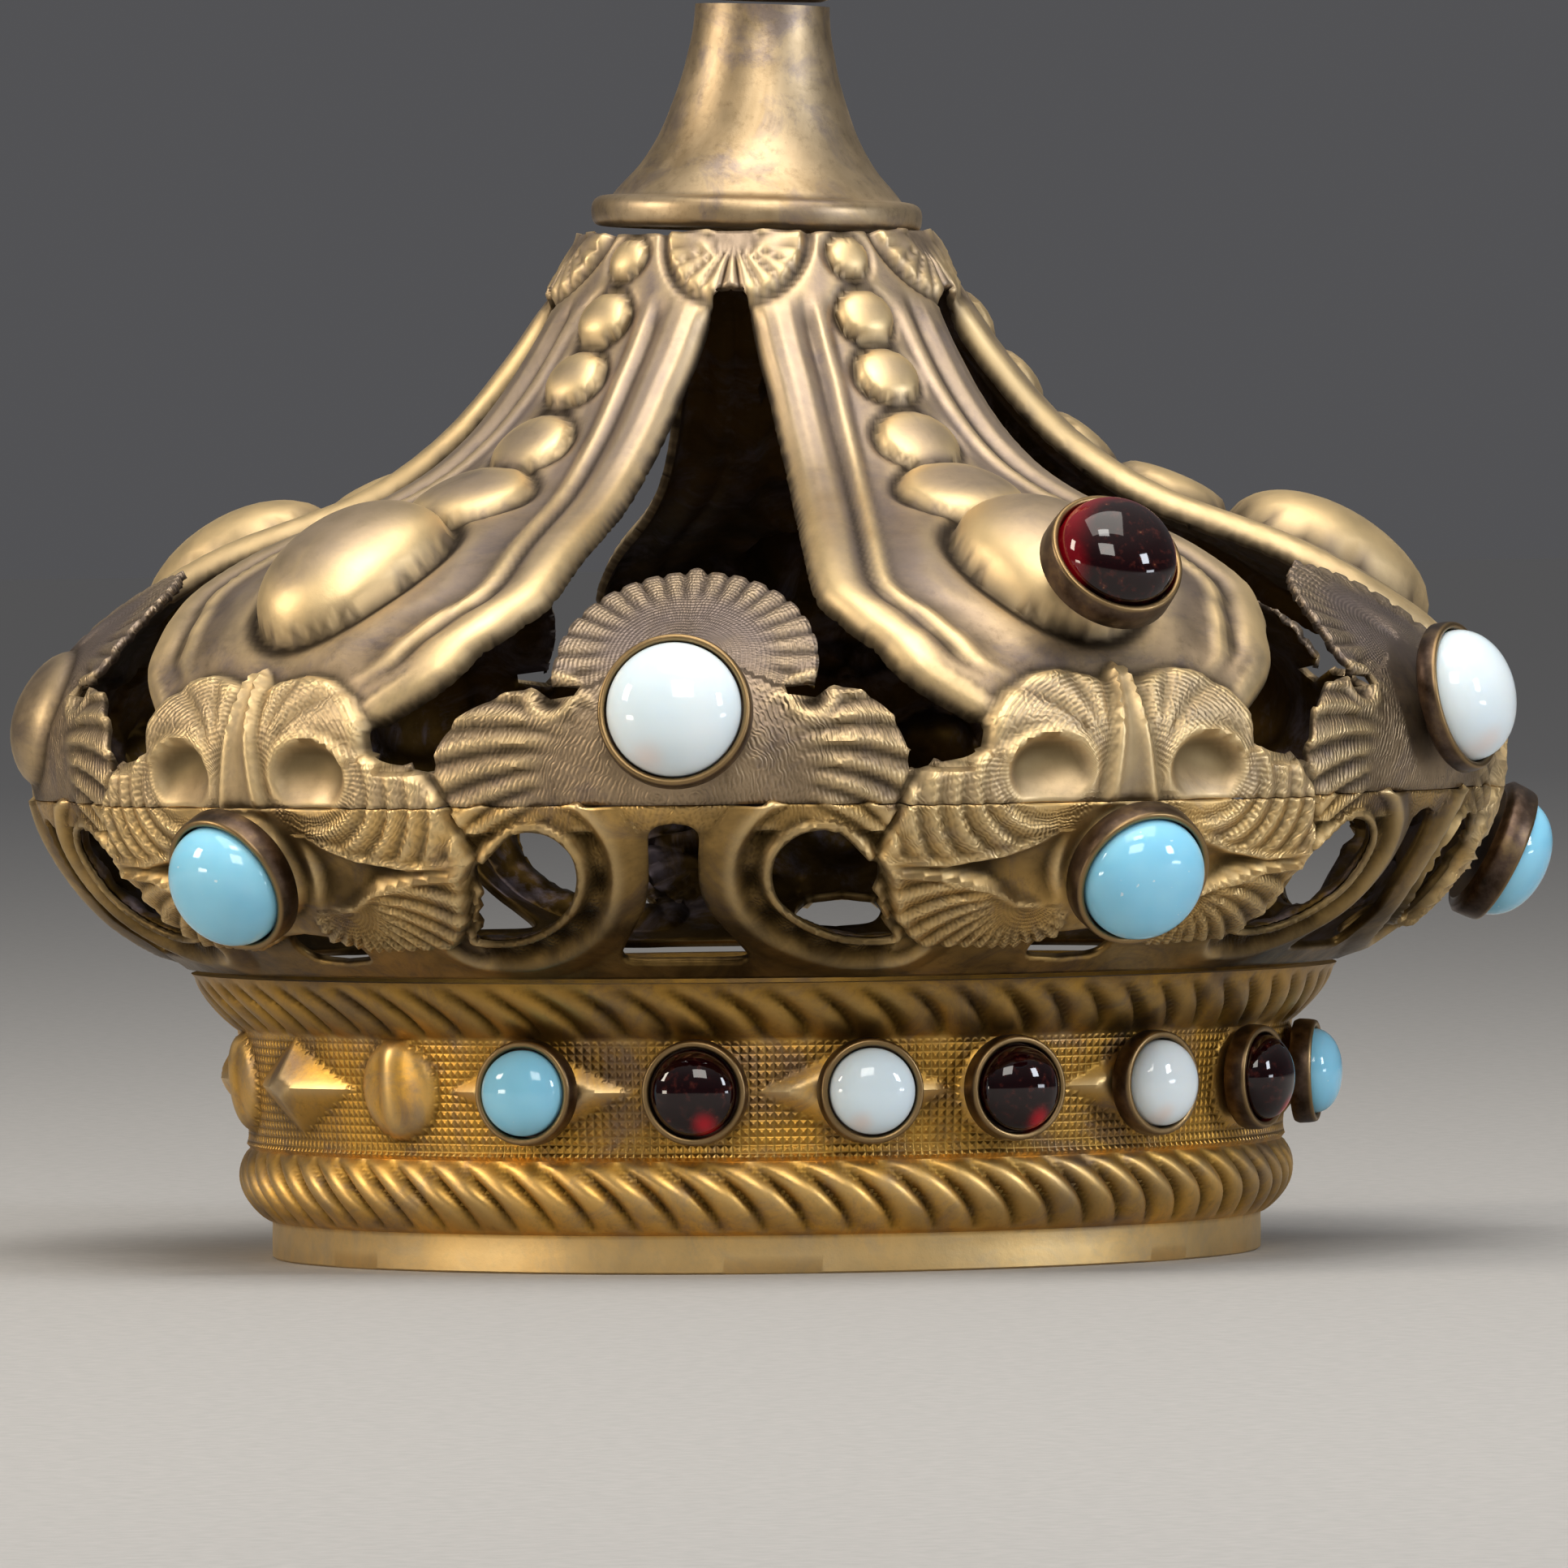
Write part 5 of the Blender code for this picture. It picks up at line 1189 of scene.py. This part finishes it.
STONE_SIDES = 64
DOME_STEPS = 15
COLLET_WALL = 0.3 * MM
COLLET_FLOOR = 0.4 * MM
STONES = {
    "garnet": {"radius": 3.55 * MM, "dome": 2.45 * MM, "neck": (2.4 * MM, 0.9 * MM), "height": 2.9 * MM,
               "seat": 25.6, "tilt": -15.8, "clear": 0.9 * MM},
    "turquoise": {"radius": 3.7 * MM, "dome": 2.55 * MM, "neck": (3.6 * MM, 0.2 * MM), "height": 1.9 * MM,
                  "seat": 10.7, "tilt": 3.0, "clear": 0.15 * MM},
    "opal": {"radius": 3.87 * MM, "dome": 2.65 * MM, "neck": (2.4 * MM, 0.5 * MM), "height": 1.8 * MM,
             "seat": PALMETTE_BOSS, "tilt": -10.3, "clear": 0.15 * MM},
    "band": {"radius": 2.5 * MM, "dome": 1.5 * MM, "neck": (0.0, 0.0), "height": 1.3 * MM},
}


def collet_outline(sizes):
    """A collet's section: out along its foot, up its wall, over its lip and down to its floor."""
    height = sizes["height"]
    neck_radius, neck_height = sizes["neck"]
    inner = sizes["radius"] + 0.12 * MM
    outer = sizes["radius"] + GAP + COLLET_WALL
    floor = neck_height + COLLET_FLOOR
    foot = [(outer - 0.1 * MM, 0.0)]
    if neck_height:
        foot = [(neck_radius, 0.0), (neck_radius + 0.1 * MM, 0.6 * neck_height),
                (outer - 0.25 * MM, neck_height)]
    wall = [(outer, neck_height + 0.25 * MM), (outer - 0.02 * MM, 0.6 * height + 0.4 * neck_height),
            (outer - 0.06 * MM, height - 0.22 * MM), (outer - 0.12 * MM, height - 0.04 * MM)]
    lip = [(outer - 0.22 * MM, height), (inner + 0.08 * MM, height - 0.02 * MM), (inner, height - 0.12 * MM)]
    return [(0.0, 0.0)] + foot + wall + lip + [(inner, floor), (0.0, floor)]


def stone_outline(sizes):
    """A cabochon's section, from its flat back up its girdle and over its dome."""
    radius, dome = sizes["radius"], sizes["dome"]
    seat = sizes["neck"][1] + COLLET_FLOOR + 0.05 * MM
    girdle = sizes["height"] - 0.15 * MM
    outline = [(0.0, seat), (radius - 0.2 * MM, seat), (radius, seat + 0.2 * MM), (radius, girdle)]
    for i in range(1, DOME_STEPS):
        turn = 0.5 * math.pi * i / DOME_STEPS
        outline.append((radius * math.cos(turn) ** 0.92, girdle + (dome + 0.1 * MM) * math.sin(turn)))
    return outline + [(0.0, girdle + 0.1 * MM + dome)]


def painted_glow_in(local, axis, size, kind):
    """Where a glow of light coming through a stone is painted, at points measured in its radius from its
    girdle's middle.
    """
    right = np.array(axis.cross(Vector((0.0, 0.0, 1.0))).normalized()) * -1.0
    if (size, kind) == ("large", "garnet"):
        rim = np.linalg.norm(local - np.outer(local @ np.array(axis), axis), axis=1)
        high = local[:, 2] - 0.25 * (local @ right)
        painted_glow = eased(rim, 0.6, 0.98) * eased(high, 0.2, 0.9) * 0.8
        return np.maximum(painted_glow, 0.45 * eased(np.abs(local @ right), 0.75, 0.95))
    aside = 0.3 if kind == "garnet" else -0.35
    return swell(np.hypot(local @ right - aside, local[:, 2] + 0.72), 0.4)


def set_stone(size, kind, number, sizes, foot, axis, brass, glass):
    """A cabochon and the collet that it sits in, standing on a foot point along an axis."""
    height = sizes["height"]
    cup = stood_on(turned_shape(collet_outline(sizes), STONE_SIDES), foot, axis)
    mesh = finish_piece(f"{size}_{kind}_setting_{number}", cup, brass, [f"{size}_{kind}_collet_{number}"],
                        50.0).data
    points, _ = mesh_arrays(mesh)
    along = (points - np.array(foot)) @ np.array(axis)
    set_attribute(mesh, "crest", np.clip(((along - height) / MM + 0.25) / 0.2, 0.0, 1.0))
    gem = stood_on(turned_shape(stone_outline(sizes), STONE_SIDES), foot, axis)
    mesh = finish_piece(f"{size}_{kind}_cabochon_{number}", gem, glass, [f"{size}_{kind}_{number}"],
                        60.0).data
    points, _ = mesh_arrays(mesh)
    local = (points - np.array(foot + axis * height)) / sizes["radius"]
    set_attribute(mesh, "painted_glow", painted_glow_in(local, axis, size, kind))


def build_stones(brass, glass):
    """Six large cabochons on the openwork and seven small ones round the band."""
    for kind, bearings in LARGE_STONE_PLACES.items():
        v, tilt, clear = (STONES[kind][key] for key in ("seat", "tilt", "clear"))
        _, _, out, up = on_outline(v)
        elevation = math.degrees(math.atan2(up, out)) + tilt
        for number, at in enumerate(bearings, 1):
            here = np.array([at]), np.array([v])
            axis = outward(float(settled(*here)[0]), elevation)
            foot = Vector(bent(*here, relief(*here)[0] * MM)[0]) + axis * (GAP + clear)
            set_stone("large", kind, number, STONES[kind], foot, axis, brass, glass[kind])
    counts = {}
    radius = FIELD_RADIUS + FIELD_FLARE * (FIELD_MIDDLE - FIELD_BOTTOM) / FIELD_HEIGHT + 0.5 * MM
    for at, kind in BAND_STONES:
        counts[kind] = counts.get(kind, 0) + 1
        axis = outward(at, 0.0)
        foot = AXIS + axis * (radius + GAP) + Vector((0.0, 0.0, FIELD_MIDDLE))
        set_stone("band", kind, counts[kind], STONES["band"], foot, axis, brass, glass[kind])


# The finial

FINIAL_LEAN = math.radians(2.2)
LEAN_TOWARDS = math.radians(61.2)
TRUMPET_SEAT = 0.2 * MM
TRUMPET_BELL = [(8.6, 1.95), (8.07, 2.6), (7.2, 3.55), (6.55, 4.5), (5.99, 5.5), (5.56, 6.5), (5.24, 7.4),
                (4.9, 8.4), (4.61, 9.4), (4.4, 10.35), (4.2, 11.3), (4.06, 12.3), (4.0, 13.4)]
TRUMPET_RIM = [(8.85, 0.0), (9.45, 0.08), (9.75, 0.35), (9.85, 0.95), (9.75, 1.5), (9.4, 1.8), (8.95, 1.9)]
COLLAR = [(0.0, 0.0), (3.5, 0.0), (4.2, 0.25), (4.4, 0.55), (4.35, 0.95), (4.0, 1.2), (3.4, 1.35), (3.1, 1.5),
          (0.0, 1.5)]
ORB_RADIUS = 5.3
ORB_STEPS = 48
CROSS_HEIGHT = 13.0
CROSS_SPAN = 9.6
CROSS_THICKNESS = 1.7


def finial_place(shape):
    """Moves a finial piece made along Z, foot of the trumpet at 0, to its leaning place."""
    side = Vector((math.sin(LEAN_TOWARDS), -math.cos(LEAN_TOWARDS), 0.0))
    lean = Matrix.Rotation(FINIAL_LEAN, 4, Vector((0, 0, 1)).cross(side))
    base = Matrix.Translation(AXIS + Vector((0, 0, BODY_FOOT + BODY_RISE + TRUMPET_SEAT)))
    bmesh.ops.transform(shape, matrix=base @ lean, verts=shape.verts)
    return shape


def scaled(points, rise=0.0):
    """Millimetre outlines as metres, moved up."""
    return [(radius * MM, height * MM + rise) for radius, height in points]


def rounded(points, step):
    """A smooth section through (radius, height) points."""
    return [tuple(p) for p in smooth_curve(points, step)]


def build_finial(polished):
    """Trumpet foot, collar, orb and cross."""
    bell = rounded(TRUMPET_BELL, 0.4)
    inner = [(radius - 0.5, height) for radius, height in bell[::-3]]
    trumpet = scaled(rounded(TRUMPET_RIM, 0.2) + bell + inner + [(8.1, 1.9), (8.1, 0.0)])
    start = TRUMPET_BELL[-1][1] * MM + GAP
    collar = scaled([COLLAR[0]] + rounded(COLLAR[1:-1], 0.2) + [COLLAR[-1]], start)
    middle = start + COLLAR[-1][1] * MM + GAP + ORB_RADIUS * MM
    orb = [(0.0, -ORB_RADIUS)]
    for i in range(1, ORB_STEPS):
        turn = math.radians(-90.0 + 180.0 * i / ORB_STEPS)
        belt = 0.35 * float(eased(np.array(0.75 - abs(ORB_RADIUS * math.sin(turn))), 0.0, 0.25))
        orb.append((ORB_RADIUS * math.cos(turn) + belt, ORB_RADIUS * math.sin(turn)))
    orb = scaled(orb + [(0.0, ORB_RADIUS)], middle)
    cross = cross_shape(middle + (ORB_RADIUS + 0.3) * MM)
    for name, shape, node_name, angle in (("trumpet_foot", turned_shape(trumpet, 96), "trumpet", 45.0),
                                          ("finial_collar", turned_shape(collar, 72), "collar", 45.0),
                                          ("finial_orb", turned_shape(orb, 72), "orb", 45.0),
                                          ("finial_cross", cross, "cross", 30.0)):
        finish_piece(name, finial_place(shape), polished, [node_name], angle)


def cross_shape(foot):
    """A cross with three flared arms and a plain stem, softly bevelled."""
    half_span = 0.5 * CROSS_SPAN * MM
    middle = foot + CROSS_HEIGHT * MM - half_span
    waist, flare, bow = 0.11 * CROSS_SPAN * MM, 0.24 * CROSS_SPAN * MM, 0.4 * MM
    side = [(waist + (flare - waist) * t**1.8, waist + (half_span - bow - waist) * t)
            for t in (0.0, 0.25, 0.5, 0.75, 1.0)]
    shoulder = (flare * 0.5, half_span - 0.1 * MM)
    arm = [(-x, z) for x, z in side + [shoulder]] + [(0.0, half_span), shoulder] + side[:0:-1]
    outline = []
    for degrees in (90.0, 0.0, -90.0):
        c, s = math.cos(math.radians(degrees)), math.sin(math.radians(degrees))
        outline += [(x * c - z * s, x * s + z * c) for x, z in arm]
    outline += [(waist, -waist), (waist, foot - middle), (-waist, foot - middle)]
    shape = bmesh.new()
    front = [shape.verts.new((x, -0.5 * CROSS_THICKNESS * MM, z + middle)) for x, z in outline]
    face = shape.faces.new(front)
    grown = bmesh.ops.extrude_face_region(shape, geom=[face])
    back = [part for part in grown["geom"] if isinstance(part, bmesh.types.BMVert)]
    bmesh.ops.translate(shape, verts=back, vec=(0.0, CROSS_THICKNESS * MM, 0.0))
    bmesh.ops.recalc_face_normals(shape, faces=shape.faces)
    sharp = [edge for edge in shape.edges if edge.calc_face_angle(0.0) > 0.6]
    bmesh.ops.bevel(shape, geom=sharp, offset=0.22 * MM, segments=3, profile=0.5, affect="EDGES", material=-1)
    return shape


# Floor, lights and camera

# Each light's name, bearing, elevation, distance, width, height, power in watts and colour
LIGHTS = [
    ("overhead_softbox", 12.0, 78.0, 0.7, 0.6, 0.5, 3.3, "#FFF9F0"),
    ("overhead_pane", 6.0, 60.0, 0.75, 0.2, 0.14, 0.9, "#FFFDF8"),
    ("left_pane_high", -78.0, 24.0, 0.6, 0.13, 0.17, 1.3, "#FFF3E2"),
    ("left_pane_low", -64.0, -3.0, 0.6, 0.14, 0.08, 0.5, "#FFF3E2"),
    ("right_pane_high", 62.0, 18.0, 0.6, 0.11, 0.15, 1.1, "#EEF4FF"),
    ("right_pane_low", 69.0, -4.0, 0.6, 0.14, 0.08, 0.45, "#EEF4FF"),
    ("front_fill", 4.0, 34.0, 1.2, 0.5, 0.4, 5.0, "#FFFAF2"),
]


def build_floor():
    """A plain pale floor, its colour painted darker with distance from the crown as shade, until it meets the
    dim room.
    """
    shape = bmesh.new()
    bmesh.ops.create_grid(shape, x_segments=1, y_segments=1, size=6.0)
    mesh = bpy.data.meshes.new("studio_floor")
    shape.to_mesh(mesh)
    shape.free()
    made, tree, shader, place = begun("matt_floor_board")
    pale = ramp(tree, mottled(tree, place, 900.0, 2.0), (0.3, linear("#A09F9D")), (0.7, linear("#A9A7A5")))
    away = node(tree, "ShaderNodeVectorMath", {0: place}, operation="LENGTH").outputs["Value"]
    # Painted shade: the floor's colour darkens with distance from the crown
    painted_falloff = ramp(tree, times(tree, away, 0.25), (0.06, grey(0.0)), (0.4, grey(1.0)))
    tree.links.new(mixed(tree, painted_falloff, pale, linear("#868688")), shader.inputs["Base Color"])
    shader.inputs["Roughness"].default_value = 0.85
    mesh.materials.append(made)
    floor = bpy.data.objects.new("studio_floor", mesh)
    bpy.context.scene.collection.objects.link(floor)


def softbox(name, bearing, elevation, away, width, height, power, colour):
    """A rectangular soft light, at a bearing from the camera's side of the crown."""
    light = bpy.data.lights.new(name, "AREA")
    light.shape = "RECTANGLE"
    light.size = width
    light.size_y = height
    light.energy = power
    light.color = linear(colour)[:3]
    piece = bpy.data.objects.new(name, light)
    towards = outward(math.degrees(CAMERA_BEARING) + bearing, elevation)
    middle = AXIS + Vector((0, 0, 40 * MM))
    piece.location = middle + towards * away
    piece.rotation_euler = towards.to_track_quat("Z", "Y").to_euler()
    piece.visible_camera = False
    bpy.context.scene.collection.objects.link(piece)


def build_room():
    """A dim room, lighter overhead."""
    room = bpy.data.worlds.new("studio_room")
    bpy.context.scene.world = room
    room.use_nodes = True
    tree = room.node_tree
    way = node(tree, "ShaderNodeTexCoord").outputs["Generated"]
    up = node(tree, "ShaderNodeSeparateXYZ", {"Vector": way}).outputs["Z"]
    light = ramp(tree, up, (0.0, (0.085, 0.085, 0.09, 1)), (0.12, (0.085, 0.085, 0.09, 1)),
                 (0.5, (0.18, 0.18, 0.18, 1)), (1.0, (0.5, 0.49, 0.48, 1)))
    sky = tree.nodes["Background"]
    tree.links.new(light, sky.inputs["Color"])
    sky.inputs["Strength"].default_value = 1.0


def build_camera():
    """A long lens level with the middle of the crown, tilted down a degree."""
    data = bpy.data.cameras.new("photo_camera")
    data.lens = CAMERA_LENS
    data.sensor_width = 36.0
    data.clip_start = 0.05
    data.clip_end = 20.0
    camera = bpy.data.objects.new("photo_camera", data)
    bpy.context.scene.collection.objects.link(camera)
    right = Vector((math.cos(CAMERA_BEARING), math.sin(CAMERA_BEARING), 0.0))
    up = Vector((0.0, 0.0, 1.0))
    back = right.cross(up)
    level = Matrix((right, up, back)).transposed()
    turn = Euler((CAMERA_TILT, CAMERA_YAW, CAMERA_ROLL)).to_matrix()
    place = AXIS + back * CAMERA_DISTANCE + up * CAMERA_HEIGHT
    camera.matrix_world = Matrix.Translation(place) @ (level @ turn).to_4x4()
    bpy.context.scene.camera = camera


def main():
    """Dresses the crown."""
    bpy.context.scene.view_settings.view_transform = "Standard"
    build_camera()
    build_floor()
    for light in LIGHTS:
        softbox(*light)
    build_room()
    arches_brass = gilt_brass("gilt_brass_arches", "#C4AC8D", "#A18D73", 0.5, "weave")
    gallery_brass = gilt_brass("gilt_brass_gallery", "#DBB26C", "#9C8052", 0.43, "weave")
    circlet_brass = gilt_brass("gilt_brass_circlet", "#E4B050", "#B9924F", 0.44, "dots")
    polished = gilt_brass("burnished_brass", "#C1AB8A", "#A48E6D", 0.46, carved=False)
    # The sheet's inner face is a dark brown brass
    inside_brass = gilt_brass("dark_brass_inside", "#54401F", "#2E220C", 0.55, carved=False)
    glass = {"garnet": garnet_glass(), "turquoise": turquoise_glass(), "opal": opal_glass()}
    build_circlet(circlet_brass)
    build_gallery([gallery_brass, inside_brass])
    build_arches([arches_brass, inside_brass])
    build_stones(dark_brass(), glass)
    build_finial(polished)


main()
